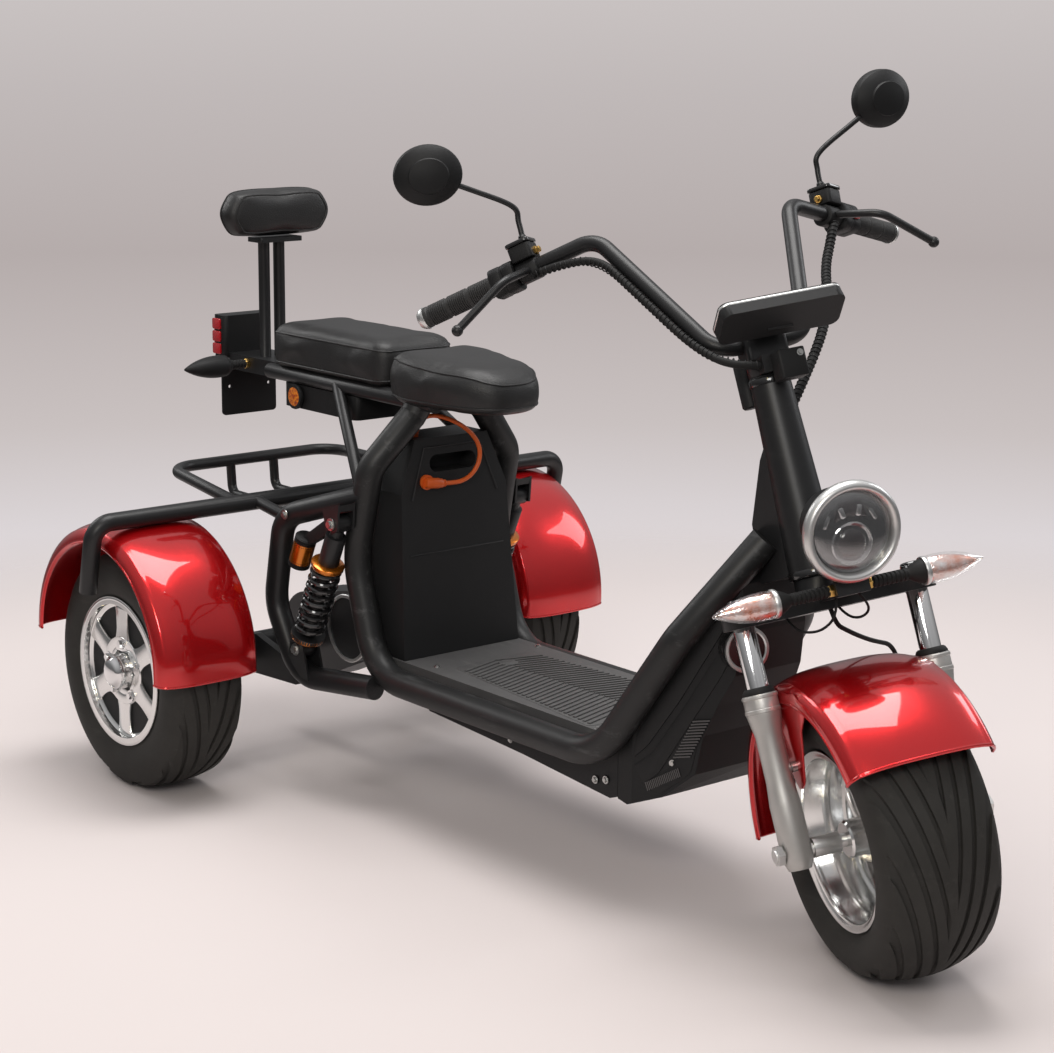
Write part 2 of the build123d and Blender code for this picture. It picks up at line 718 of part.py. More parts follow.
# Fork: yoke with its steerer and lamp tongue, chrome legs, cast lowers and axle
leg_bore = stanchion_diameter / 2 + press_gap
yoke_top = yoke_low + yoke_thickness
tongue_low = yoke_low + 12
tongue_high = yoke_top
tongue_tip = 102.0
tongue_half = 26.0
with BuildPart() as yoke:
    with BuildSketch(Plane.XY.offset(yoke_low)):
        Polygon((30, -half_legs), (30, half_legs), (-28, half_legs), (-fork_offset - 36, 34), (-fork_offset - 36, -34),
                (-28, -half_legs), align=None)
        with Locations((0, half_legs), (0, -half_legs)):
            Circle(30)
    extrude(amount=yoke_thickness)
    with BuildSketch(Plane.XY.offset(tongue_low)):
        with Locations(((tongue_tip + 20) / 2, 0)):
            Rectangle(tongue_tip - 20, 2 * tongue_half)
    extrude(amount=tongue_high - tongue_low)
    with BuildSketch(Plane.XY.offset(yoke_top - 1)):
        with Locations((-fork_offset, 0)):
            Circle(neck_low_radius - 4)
    extrude(amount=neck_low - yoke_top - joint_gap + 1)
    with BuildSketch(Plane.XY.offset(yoke_low + 2)):
        with Locations((-fork_offset, 0)):
            Circle(steerer_diameter / 2)
    extrude(amount=neck_high + 24 - yoke_low)
    with BuildSketch(Plane.XY.offset(yoke_low - 1)):
        with Locations((0, half_legs), (0, -half_legs)):
            Circle(leg_bore)
    extrude(amount=yoke_thickness + 2, mode=Mode.SUBTRACT)
steering["fork_yoke"] = yoke.part

stanchion_foot = 120.0
with BuildPart() as stanchions:
    with BuildSketch(Plane.XY.offset(stanchion_foot)):
        with Locations((0, half_legs), (0, -half_legs)):
            Circle(stanchion_diameter / 2)
    extrude(amount=yoke_top + 4 - stanchion_foot)
steering["fork_stanchions"] = stanchions.part

leg_radius = leg_diameter / 2
collar_radius = 25.5
leg_waist = 20.0
with BuildPart() as lowers:
    for side, name in sides:
        with BuildSketch(Plane.XZ.offset(-side * half_legs)):
            Polygon((0, -26), (17, -26), (leg_radius, -10), (leg_radius, 70), (leg_waist, 104), (leg_waist, 172),
                    (collar_radius, 204), (collar_radius, collar_height), (0, collar_height), align=None)
        revolve(axis=Axis((0, side * half_legs, 0), (0, 0, 1)))
        with BuildSketch(Plane.XY.offset(stanchion_foot - joint_gap)):
            with Locations((0, side * half_legs)):
                Circle(leg_bore)
        extrude(amount=collar_height, mode=Mode.SUBTRACT)
    with BuildSketch(Plane.XZ):
        Circle(axle_diameter / 2 + press_gap)
    extrude(amount=half_legs + 60, both=True, mode=Mode.SUBTRACT)
steering["fork_lowers"] = lowers.part

nut_length = 9.0
axle_half = half_legs + leg_radius
with BuildPart() as front_axle:
    with BuildSketch(Plane.XZ):
        Circle(axle_diameter / 2)
    extrude(amount=axle_half + nut_length + 3, both=True)
    for side, name in sides:
        with BuildSketch(crosswise(0, side * (axle_half + joint_gap), 0, side)):
            RegularPolygon(16, 6)
        extrude(amount=nut_length)
        with BuildSketch(crosswise(0, side * (disc_seat + disc_thickness + 6), 0, side)):
            Circle(axle_diameter / 2 + 5)
        extrude(amount=half_legs - leg_radius - disc_seat - disc_thickness - 7)
    add(steering["fork_lowers"], mode=Mode.SUBTRACT)
steering["front_axle"] = front_axle.part

# Front brake caliper: straddles the disc behind the left leg
caliper_gap = 5.0
with BuildPart() as caliper:
    with BuildSketch(Plane.XZ.offset(-disc_seat - disc_thickness / 2)):
        Polygon((-disc_radius - 14, 30), (-disc_radius - 2, 62), (-disc_radius + 32, 66), (-disc_radius + 32, 26),
                align=None)
    extrude(amount=disc_thickness / 2 + caliper_gap + 10, both=True)
    with BuildSketch(Plane.XZ.offset(-disc_seat - disc_thickness / 2)):
        Circle(disc_radius + caliper_gap)
    extrude(amount=disc_thickness / 2 + caliper_gap, both=True, mode=Mode.SUBTRACT)
    with BuildSketch(Plane.XZ.offset(-half_legs + leg_radius + 8)):
        Polygon((-disc_radius - 10, 34), (-disc_radius, 58), (0, 72), (0, 30), align=None)
    extrude(amount=-8)
    with BuildSketch(Plane.XZ.offset(-half_legs + leg_radius + 8)):
        Polygon((-disc_radius - 10, 34), (-disc_radius, 58), (-disc_radius + 32, 62), (-disc_radius + 32, 30),
                align=None)
    extrude(amount=half_legs - leg_radius - 8 - disc_seat - disc_thickness - caliper_gap - 8)
    add(steering["fork_lowers"], mode=Mode.SUBTRACT)
steering["front_caliper"] = caliper.part

front_fender_start = 23.6
front_fender_arc = 152.4
fender_hub = (-front_fender_back, 0, 0)
ear_foot = 92.0
with BuildPart() as front_fender:
    add(fender_section(lengthwise(fender_hub, front_fender_start), front_fender_width, front_fender_radius, front_skirt))
    revolve(axis=Axis(fender_hub, (0, -1, 0)), revolution_arc=front_fender_arc)
    for side, name in sides:
        with BuildSketch(Plane.XZ.offset(-side * (front_fender_width - fender_wall) / 2)):
            Polygon((-84, front_fender_radius - front_skirt), (80, front_fender_radius - front_skirt - 8),
                    (20, ear_foot), (-6, ear_foot), align=None)
        extrude(amount=fender_wall / 2, both=True)
        with BuildSketch(crosswise(5, side * (front_fender_width / 2 - 1), ear_foot + 28, side)):
            Circle(9)
        extrude(amount=half_legs - leg_waist - front_fender_width / 2 + 2)
    add(steering["fork_lowers"], mode=Mode.SUBTRACT)
steering["front_fender"] = front_fender.part

# Headlight: bowl, bezel and lens, level when the wheel is straight
bowl_seat = Vector(136, 0, 431)
lamp_ahead = Vector(cos(radians(rake)), 0, -sin(radians(rake)))
lamp_radius = 75.0
bezel_width = 15.0
bezel_depth = 18.0
bowl_depth = 66.0
with BuildPart() as bowl:
    with BuildSketch(Plane(bowl_seat, x_dir=(0, 1, 0), z_dir=lamp_ahead)):
        Circle(lamp_radius - 6)
    extrude(amount=-bowl_depth, taper=16)
    with BuildSketch(Plane.XY.offset(tongue_high + joint_gap)):
        with Locations((84, 0)):
            Rectangle(30, 34)
    extrude(amount=44)
steering["headlight_bowl"] = bowl.part

lamp_plane = Plane(bowl_seat + lamp_ahead * joint_gap, x_dir=(0, 1, 0), z_dir=lamp_ahead)
with BuildPart() as bezel:
    with BuildSketch(lamp_plane):
        Circle(lamp_radius)
        Circle(lamp_radius - bezel_width, mode=Mode.SUBTRACT)
    extrude(amount=bezel_depth)
steering["headlight_bezel"] = bezel.part

with BuildPart() as lens:
    with BuildSketch(lamp_plane):
        Circle(lamp_radius - bezel_width - joint_gap)
    extrude(amount=bezel_depth - 6)
steering["headlight_lens"] = lens.part

# Front signals: stalks on the tongue, with a tapered lens on each
stalk_u = 88.0
stalk_w = (tongue_low + tongue_high) / 2
stalk_length = 90.0
lens_radius = 20.0
lens_length = 96.0
lens_tip = 2.0
with BuildPart() as signals:
    for side, name in sides:
        with BuildSketch(crosswise(stalk_u, side * (tongue_half + joint_gap), stalk_w, side)):
            Circle(9)
        extrude(amount=stalk_length)
steering["front_signals"] = signals.part

with BuildPart() as signal_lenses:
    for side, name in sides:
        foot = Vector(stalk_u, side * (tongue_half + stalk_length + 2 * joint_gap), stalk_w)
        with BuildSketch(Plane(foot, x_dir=(0, side, 0), z_dir=(1, 0, 0))):
            with BuildLine():
                Polyline((lens_length, lens_tip), (lens_length, 0), (0, 0), (0, lens_radius))
                ThreePointArc((0, lens_radius), (0.62 * lens_length, 0.82 * lens_radius), (lens_length, lens_tip))
            make_face()
        revolve(axis=Axis(foot, (0, 1, 0)))
steering["front_signal_lenses"] = signal_lenses.part

# Handlebar: clamp on the steerer, high bar, grips and what sits on the bar
clamp_half = 34.0
with BuildPart() as clamp:
    with BuildSketch(Plane.XY.offset(neck_high + joint_gap)):
        with Locations((-fork_offset, 0)):
            Circle(neck_high_radius)
        with Locations((-fork_offset + 30, 0)):
            Rectangle(28, 44)
    extrude(amount=26)
    with BuildSketch(Plane.XY.offset(neck_high + 24)):
        with Locations((-fork_offset, 0)):
            RectangleRounded(48, 2 * clamp_half, 8)
    extrude(amount=clamp_height + 20 - neck_high - 24)
    with BuildSketch(Plane.XY.offset(neck_high - 1)):
        with Locations((-fork_offset, 0)):
            Circle(steerer_diameter / 2 + press_gap)
    extrude(amount=27 + press_gap, mode=Mode.SUBTRACT)
    with BuildSketch(Plane.XZ):
        with Locations((-fork_offset, clamp_height)):
            Circle(bar_diameter / 2 + press_gap)
    extrude(amount=clamp_half + 10, both=True, mode=Mode.SUBTRACT)
steering["bar_clamp"] = clamp.part

bar_shoulder = Vector(-178, 162, clamp_height + 230)
bar_end = Vector(-361, 404, clamp_height + 189)
bar_half = [(-fork_offset, 72, clamp_height), tuple(bar_shoulder), tuple(bar_end)]
with BuildPart() as handlebar:
    add(bent_tube(sided(bar_half[::-1], -1) + bar_half, [46, 46, 46, 46], bar_diameter))
steering["handlebar"] = handlebar.part

grip_line = (bar_end - bar_shoulder).normalized()


def bar_plane(side, along):
    """The plane across the bar, a distance in from its end, facing outward."""
    spot = bar_end - grip_line * along
    return Plane((spot.X, side * spot.Y, spot.Z), x_dir=(0, 0, 1),
                 z_dir=(grip_line.X, side * grip_line.Y, grip_line.Z))


bar_clear = bar_diameter / 2 + press_gap
with BuildPart() as grips:
    for side, name in sides:
        with BuildSketch(bar_plane(side, grip_length)):
            Circle(grip_diameter / 2)
            Circle(bar_clear, mode=Mode.SUBTRACT)
        extrude(amount=grip_length)
steering["grips"] = grips.part

with BuildPart() as bar_ends:
    for side, name in sides:
        with BuildSketch(bar_plane(side, -joint_gap)):
            Circle(grip_diameter / 2 + 1)
        extrude(amount=14, taper=20)
steering["bar_ends"] = bar_ends.part

switch_length = 44.0
reservoir_box = 38.0
switch_start = grip_length + joint_gap + switch_length
box_start = switch_start + joint_gap + reservoir_box
with BuildPart() as controls:
    for side, name in sides:
        with BuildSketch(bar_plane(side, switch_start)):
            RectangleRounded(48, 46, 10)
            Circle(bar_clear, mode=Mode.SUBTRACT)
        extrude(amount=switch_length)
        with BuildSketch(bar_plane(side, box_start)):
            with Locations((14, 0)):
                RectangleRounded(66, 40, 6)
            Circle(bar_clear, mode=Mode.SUBTRACT)
        extrude(amount=reservoir_box)
steering["bar_controls"] = controls.part

lever_root = bar_end - grip_line * (box_start - reservoir_box / 2) + Vector(16, 9, -4)
lever_knee = lever_root + Vector(44, 55, -18)
lever_tip = Vector(-205, 403, clamp_height + 133)
with BuildPart() as levers:
    for side, name in sides:
        add(bent_tube(sided([tuple(lever_root), tuple(lever_knee), tuple(lever_tip)], side), [40], 13))
        with Locations((lever_tip.X, side * lever_tip.Y, lever_tip.Z)):
            Sphere(9)
    for name in ("bar_controls", "handlebar"):
        add(steering[name], mode=Mode.SUBTRACT)
steering["brake_levers"] = levers.part

mirror_centre = Vector(-225, 388, clamp_height + 382)
stem_foot = bar_end - grip_line * (box_start - reservoir_box / 2) + Vector(0, 0, 30)
stem_bend = Vector(-241, 258, clamp_height + 311)
mirror_back = Vector(-0.92, -0.2, 0.33)
with BuildPart() as mirrors:
    for side, name in sides:
        add(bent_tube(sided([tuple(stem_foot), tuple(stem_bend), tuple(mirror_centre)], side), [18], 9))
        with BuildSketch(Plane((mirror_centre.X + 2, side * mirror_centre.Y, mirror_centre.Z), x_dir=(0, 1, 0),
                               z_dir=(mirror_back.X, side * mirror_back.Y, mirror_back.Z))):
            Ellipse(54, 47)
        extrude(amount=18)
    for name in ("bar_controls", "handlebar"):
        add(steering[name], mode=Mode.SUBTRACT)
steering["mirrors"] = mirrors.part

with BuildPart() as mirror_glass:
    for side, name in sides:
        facing = Vector(mirror_back.X, side * mirror_back.Y, mirror_back.Z).normalized()
        spot = Vector(mirror_centre.X + 2, side * mirror_centre.Y, mirror_centre.Z) + facing * (18 + joint_gap)
        with BuildSketch(Plane(spot, x_dir=(0, 1, 0), z_dir=facing)):
            Ellipse(49, 42)
        extrude(amount=2)
steering["mirror_glass"] = mirror_glass.part

display_half = 96.0
with BuildPart() as display:
    with BuildSketch(Plane((77, 0, clamp_height + 14), x_dir=(0, 1, 0), z_dir=(-0.5, 0, 0.866))):
        RectangleRounded(2 * display_half, 66, 14)
    extrude(amount=24)
    with BuildSketch(Plane.XY.offset(clamp_height + 4)):
        with Locations((30, 0)):
            Rectangle(70, 40)
    extrude(amount=10)
    add(steering["bar_clamp"], mode=Mode.SUBTRACT)
steering["display"] = display.part

# Looms from the bar's controls and the front brake's hose, each held at both ends
# Columns: diameter, route
loom_routes = (
    (14.0, [(-236, 258, 942), (-222, 236, 905), (-194, 205, 863), (-146, 176, 806),
            (-104, 138, 753), (-78, 92, 700), (-54, 36, 640)]),
    (12.0, [(-236, -258, 942), (-204, -222, 945), (-159, -170, 935), (-100, -136, 848),
            (-41, -101, 760), (2, -72, 716), (8, -20, 702)]),
    (7.0, [(-2, 0, 336), (-6, 6, 306), (-41, 45, 287), (-71, 82, 272),
           (-102, 130, 258), (-108, 124, 180), (-98, 104, 96), (-80, 74, 60)]),
)
with BuildPart() as looms:
    for diameter, route in loom_routes:
        add(bent_tube(route, easy_bends(route), diameter))
    for name in ("bar_controls", "bar_clamp", "handlebar", "fork_yoke", "front_caliper"):
        add(steering[name], mode=Mode.SUBTRACT)
steering["cable_looms"] = looms.part

# Everything goes to its place at rest, centred under the whole scooter
placed = dict(chassis)
for name in rear_wheels:
    placed.update(rear_wheels[name])
for group in (steering, front_wheel):
    for name, solid in group.items():
        placed[name] = solid.moved(steered_place)

boxes = [solid.bounding_box() for solid in placed.values()]
middle_x = (min(box.min.X for box in boxes) + max(box.max.X for box in boxes)) / 2
middle_y = (min(box.min.Y for box in boxes) + max(box.max.Y for box in boxes)) / 2
row_frame = Location((-middle_x, -middle_y, chassis_rise))
os.makedirs("parts", exist_ok=True)
for name, solid in placed.items():
    piece = solid.moved(row_frame)
    piece.label = name
    export_step(piece, f"parts/{name}.step")

print("row shift", row_frame.position)
print("steering axis point", (row_frame * straight_place * Location((-fork_offset, 0, 0))).position)
print("front axle", (row_frame * steered_place).position)
print("lowest", chassis_rise + min(box.min.Z for box in boxes))
print("lead bends", [round(bend, 1) for bend in lead_bends])
for diameter, route in loom_routes:
    print("loom bends", diameter, [round(bend, 1) for bend in easy_bends(route)])
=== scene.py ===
"""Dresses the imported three-wheel scooter: treads, paint, upholstery, lamps and cables on a studio floor."""
import json
from math import atan2, cos, hypot, pi, radians, sin, sqrt

import bmesh
import bpy
from bpy.props import FloatProperty, FloatVectorProperty, IntProperty, PointerProperty
from mathutils import Matrix, Vector
from mathutils.bvhtree import BVHTree


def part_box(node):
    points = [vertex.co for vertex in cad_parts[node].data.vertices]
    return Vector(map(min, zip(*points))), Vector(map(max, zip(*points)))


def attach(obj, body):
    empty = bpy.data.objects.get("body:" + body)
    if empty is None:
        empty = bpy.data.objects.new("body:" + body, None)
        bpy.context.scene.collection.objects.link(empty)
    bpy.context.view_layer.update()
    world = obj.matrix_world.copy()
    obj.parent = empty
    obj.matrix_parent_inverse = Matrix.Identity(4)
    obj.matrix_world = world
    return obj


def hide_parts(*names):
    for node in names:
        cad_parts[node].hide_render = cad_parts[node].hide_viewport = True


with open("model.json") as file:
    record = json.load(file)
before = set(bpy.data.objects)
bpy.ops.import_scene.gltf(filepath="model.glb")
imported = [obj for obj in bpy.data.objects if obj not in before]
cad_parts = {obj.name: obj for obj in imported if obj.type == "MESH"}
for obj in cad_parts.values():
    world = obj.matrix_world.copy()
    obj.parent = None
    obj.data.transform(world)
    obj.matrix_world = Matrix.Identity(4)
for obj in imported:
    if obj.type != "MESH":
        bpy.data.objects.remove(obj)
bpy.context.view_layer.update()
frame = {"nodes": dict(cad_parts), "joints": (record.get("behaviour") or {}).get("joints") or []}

bl_info = {
    "name": "Three-wheel scooter dressing",
    "version": (1, 0, 0),
    "blender": (4, 5, 0),
    "location": "View3D > Sidebar > Scooter",
    "description": "Builds the pieces and finishes of a three-wheel electric scooter over its packed model",
    "category": "Object",
}

# Frames: the vehicle's zero is on the floor under the rear axle, the fork's zero is at the front axle
joints = {joint["name"]: joint for joint in frame["joints"]}
MM = Matrix.Scale(0.001, 4)
steer_axis = Vector(joints["steering"]["axis"]).normalized()
wheel_axis = Vector(joints["front_wheel_spin"]["axis"]).normalized()
fork_ahead = wheel_axis.cross(steer_axis)
front_axle = Vector(joints["front_wheel_spin"]["pos_m"])
rear_axle = Vector(joints["rear_wheel_right_spin"]["pos_m"])
VEHICLE = Matrix.Translation((rear_axle.x, 0, 0)) @ MM
fork_turn = Matrix((fork_ahead, wheel_axis, steer_axis)).transposed().to_4x4()
FORK = Matrix.Translation(front_axle) @ fork_turn @ MM
SIDES = ((-1, "right"), (1, "left"))
WAYS = (-1, 1)


def placed(base, origin, out, across=(0, 0, 1)):
    """A local frame in millimetres: zero at origin, +Z along out, +X as near to across as it can be."""
    z = Vector(out).normalized()
    x = Vector(across) - z * Vector(across).dot(z)
    if x.length < 1e-6:
        x = z.orthogonal()
    x.normalize()
    turn = Matrix((x, z.cross(x), z)).transposed().to_4x4()
    return base @ Matrix.Translation(origin) @ turn


def both(base, origin, out=(0, 1, 0), across=(1, 0, 0)):
    """The right and left frames of a mirrored pair, given by the left one."""
    return [placed(base, *mirrored((origin, out), side), across) for side in WAYS]


def flank(points, side):
    """Points given by X and height, in a frame that faces out to one side."""
    return [(x, -side * z) for x, z in points]


def mirrored(points, side):
    """The left side's points, moved to one side."""
    return [(x, side * y, z) for x, y, z in points]


def arc(first, middle, last, count):
    """Points on the circle through three flat points, from first to last."""
    (ax, ay), (bx, by), (cx, cy) = first, middle, last
    d = 2 * (ax * (by - cy) + bx * (cy - ay) + cx * (ay - by))
    a, b, c = ax * ax + ay * ay, bx * bx + by * by, cx * cx + cy * cy
    ox = (a * (by - cy) + b * (cy - ay) + c * (ay - by)) / d
    oy = (a * (cx - bx) + b * (ax - cx) + c * (bx - ax)) / d
    start = atan2(ay - oy, ax - ox)
    swing = (atan2(cy - oy, cx - ox) - start) % (2 * pi)
    if (atan2(by - oy, bx - ox) - start) % (2 * pi) > swing:
        swing -= 2 * pi
    radius = hypot(ax - ox, ay - oy)
    turns = [start + swing * step / (count - 1) for step in range(count)]
    return [(ox + radius * cos(turn), oy + radius * sin(turn)) for turn in turns]


def smooth_path(points, steps=8, closed=False):
    """Points on a soft curve through the given ones."""
    spots = [Vector(point) for point in points]
    count = len(spots)
    line = []
    for index in range(count if closed else count - 1):
        if closed:
            a, b, c, d = (spots[(index + shift) % count] for shift in (-1, 0, 1, 2))
        else:
            a, b, c, d = (spots[min(max(index + shift, 0), count - 1)] for shift in (-1, 0, 1, 2))
        for step in range(steps):
            t = step / steps
            line.append(0.5 * (2 * b + (c - a) * t + (2 * a - 5 * b + 4 * c - d) * t * t
                               + (3 * b - a - 3 * c + d) * t ** 3))
    if not closed:
        line.append(spots[-1])
    return line


class Shape:
    """Gathers the points and faces of one piece, in metres, with a finish number for each face."""

    def __init__(self):
        self.points = []
        self.faces = []
        self.tints = []
        self.tint = 0

    def face(self, corners):
        self.faces.append(tuple(corners))
        self.tints.append(self.tint)

    def skin(self, rows, loop=False):
        """Joins closed rows of points: loop joins the last row to the first, or else both ends are filled."""
        base = len(self.points)
        width = len(rows[0])
        count = len(rows)
        for row in rows:
            self.points.extend(row)
        for r in range(count if loop else count - 1):
            low, high = base + r * width, base + (r + 1) % count * width
            for c in range(width):
                d = (c + 1) % width
                self.face((low + c, low + d, high + d, high + c))
        if not loop:
            self.face(range(base + width - 1, base - 1, -1))
            self.face(range(base + (count - 1) * width, base + count * width))

    def turn(self, place, profile, steps=48, loop=False):
        """A turned form about the place's Z, from pairs of radius and height."""
        angles = [2 * pi * step / steps for step in range(steps)]
        rows = [[place @ Vector((r * cos(a), r * sin(a), height)) for a in angles] for r, height in profile]
        self.skin(rows, loop)

    def tube(self, place, path, radius, sides=12, closed=False):
        """A round tube along a path in the place's millimetres."""
        spots = [Vector(point) for point in path]
        count = len(spots)
        rows = []
        across = None
        for index, spot in enumerate(spots):
            if closed:
                ahead = spots[(index + 1) % count] - spots[index - 1]
            else:
                ahead = spots[min(index + 1, count - 1)] - spots[max(index - 1, 0)]
            ahead.normalize()
            across = ahead.orthogonal() if across is None else across - ahead * across.dot(ahead)
            across.normalize()
            other = ahead.cross(across)
            row = []
            for step in range(sides):
                angle = 2 * pi * step / sides
                row.append(place @ (spot + (across * cos(angle) + other * sin(angle)) * radius))
            rows.append(row)
        self.skin(rows, loop=closed)

    def prism(self, place, outline, low, high, bevel=0.0):
        """An outline drawn out along the place's Z between two heights, its two rims bevelled."""
        count = len(outline)
        pairs = [(outline[i - 1], outline[i]) for i in range(count)]
        area = sum(a[0] * b[1] - b[0] * a[1] for a, b in pairs)
        way = 1 if area > 0 else -1

        def inset(amount):
            ring = []
            for i in range(count):
                before, spot, after = (Vector(outline[k % count]) for k in (i - 1, i, i + 1))
                one, two = (spot - before).normalized(), (after - spot).normalized()
                normal = Vector((-one.y - two.y, one.x + two.x)) * way
                grow = 1 + one.dot(two)
                ring.append(spot + normal * (amount / max(grow, 0.35)))
            return ring

        levels = [(low, 0.0), (high, 0.0)]
        if bevel:
            levels = [(low, bevel), (low + 0.3 * bevel, 0.3 * bevel), (low + bevel, 0.0),
                      (high - bevel, 0.0), (high - 0.3 * bevel, 0.3 * bevel), (high, bevel)]
        self.skin([[place @ Vector((p.x, p.y, height)) for p in inset(amount)] for height, amount in levels])

    def block(self, place, length, width, low, high, corner=4.0, bevel=1.5):
        """A box with rounded corners, centred on the place's Z."""
        self.prism(place, rounded(length, width, corner), low, high, bevel)

    def mesh(self, name, angle=35.0):
        """The shape as a mesh with its doubles merged, faces outward and soft shading."""
        data = bpy.data.meshes.new(name)
        build = bmesh.new()
        spots = [build.verts.new(point) for point in self.points]
        for corners, tint in zip(self.faces, self.tints):
            made = build.faces.new([spots[corner] for corner in corners])
            made.material_index = tint
            made.smooth = True
        bmesh.ops.remove_doubles(build, verts=build.verts, dist=1e-6)
        bmesh.ops.recalc_face_normals(build, faces=build.faces)
        build.to_mesh(data)
        build.free()
        data.set_sharp_from_angle(angle=radians(angle))
        return data

    def piece(self, name, body, finishes, replaces=(), angle=35.0):
        """Links the shape as a piece that rides on a body."""
        return dressed(self.mesh(name, angle), name, body, finishes, replaces)


def rounded(length, width, corner, steps=5):
    """A rectangle's outline with round corners, centred on zero."""
    outline = []
    for cx, cy, start in ((1, 1, 0), (-1, 1, 90), (-1, -1, 180), (1, -1, 270)):
        for step in range(steps + 1):
            angle = radians(start + 90 * step / steps)
            outline.append((cx * (length / 2 - corner) + corner * cos(angle),
                            cy * (width / 2 - corner) + corner * sin(angle)))
    return outline


def linked(name, data):
    """A new object of some data, linked into the scene."""
    made = bpy.data.objects.new(name, data)
    bpy.context.scene.collection.objects.link(made)
    return made


def final_mesh(holder):
    """A new mesh of what an object's modifiers make."""
    return bpy.data.meshes.new_from_object(holder.evaluated_get(bpy.context.evaluated_depsgraph_get()))


def dressed(data, name, body, finishes, replaces=()):
    """A mesh as a linked piece with its finishes, riding on a body and standing for CAD nodes."""
    piece = linked(name, data)
    names = [finishes] if isinstance(finishes, str) else finishes
    for finish in names:
        data.materials.append(material(finish))
    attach(piece, body)
    if replaces:
        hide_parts(*replaces)
    return piece


def turned(name, body, finish, places, *profiles, steps=48, loop=False, replaces=(), angle=35.0):
    """The same turned profiles on every place, as one piece."""
    shape = Shape()
    for place in places:
        for profile in profiles:
            shape.turn(place, profile, steps, loop)
    return shape.piece(name, body, finish, replaces, angle)


# Nodes and the groups shared by the finishes
def fill(tree, node, inputs):
    """Sets inputs by label: each takes a value, a node's first output, or a node and its output's label."""
    for label, value in inputs.items():
        pair = value if isinstance(value, tuple) else (value, 0)
        if isinstance(pair[0], bpy.types.Node):
            tree.links.new(pair[0].outputs[pair[1]], node.inputs[label])
        else:
            node.inputs[label].default_value = value


def add(tree, kind, inputs=None, **settings):
    """A new node in a tree, with its settings and its inputs."""
    made = tree.nodes.new(kind)
    for label, value in settings.items():
        setattr(made, label, value)
    fill(tree, made, inputs or {})
    return made


def shared(name, build):
    """The node group of that name, built when it is first asked for."""
    return bpy.data.node_groups.get(name) or build(name)


def new_group(name, kind, inputs, outputs):
    """An empty node group with its entry and exit: each socket has a label, a type and perhaps a default."""
    group = bpy.data.node_groups.new(name, kind)
    for way, sockets in (("INPUT", inputs), ("OUTPUT", outputs)):
        for label, socket_type, *default in sockets:
            socket = group.interface.new_socket(label, in_out=way, socket_type="NodeSocket" + socket_type)
            if default:
                socket.default_value = default[0]
    return group, group.nodes.new("NodeGroupInput"), group.nodes.new("NodeGroupOutput")


def grain_group(name):
    """Fine grain with a slower drift of tone, for paint, plastic, rubber and metal."""
    group, entry, out = new_group(
        name, "ShaderNodeTree", (("Grain", "Float", 900.0), ("Patch", "Float", 9.0), ("Depth", "Float", 0.1)),
        (("Fine", "Float"), ("Drift", "Float"), ("Normal", "Vector")))
    spot = (add(group, "ShaderNodeTexCoord"), "Object")
    fine = add(group, "ShaderNodeTexNoise", {"Vector": spot, "Scale": (entry, "Grain"), "Detail": 4.0})
    drift = add(group, "ShaderNodeTexNoise",
                {"Vector": spot, "Scale": (entry, "Patch"), "Detail": 5.0, "Roughness": 0.6})
    bump = add(group, "ShaderNodeBump", {"Strength": (entry, "Depth"), "Distance": 0.0006, "Height": fine})
    fill(group, out, {"Fine": fine, "Drift": drift, "Normal": bump})
    return group


def wear_group(name):
    """Rubbed streaks along the piece, as a mask."""
    group, entry, out = new_group(name, "ShaderNodeTree", (("Amount", "Float", 0.3),), (("Mask", "Float"),))
    spot = (add(group, "ShaderNodeTexCoord"), "Object")
    streak = add(group, "ShaderNodeMapping", {"Vector": spot, "Scale": (0.15, 1.0, 1.0)})
    marks = add(group, "ShaderNodeTexNoise",
                {"Vector": streak, "Scale": 60.0, "Detail": 8.0, "Roughness": 0.7})
    edge = add(group, "ShaderNodeMapRange",
               {"Value": marks, "From Min": 0.56, "From Max": 0.72, "To Max": (entry, "Amount")})
    fill(group, out, {"Mask": edge})
    return group


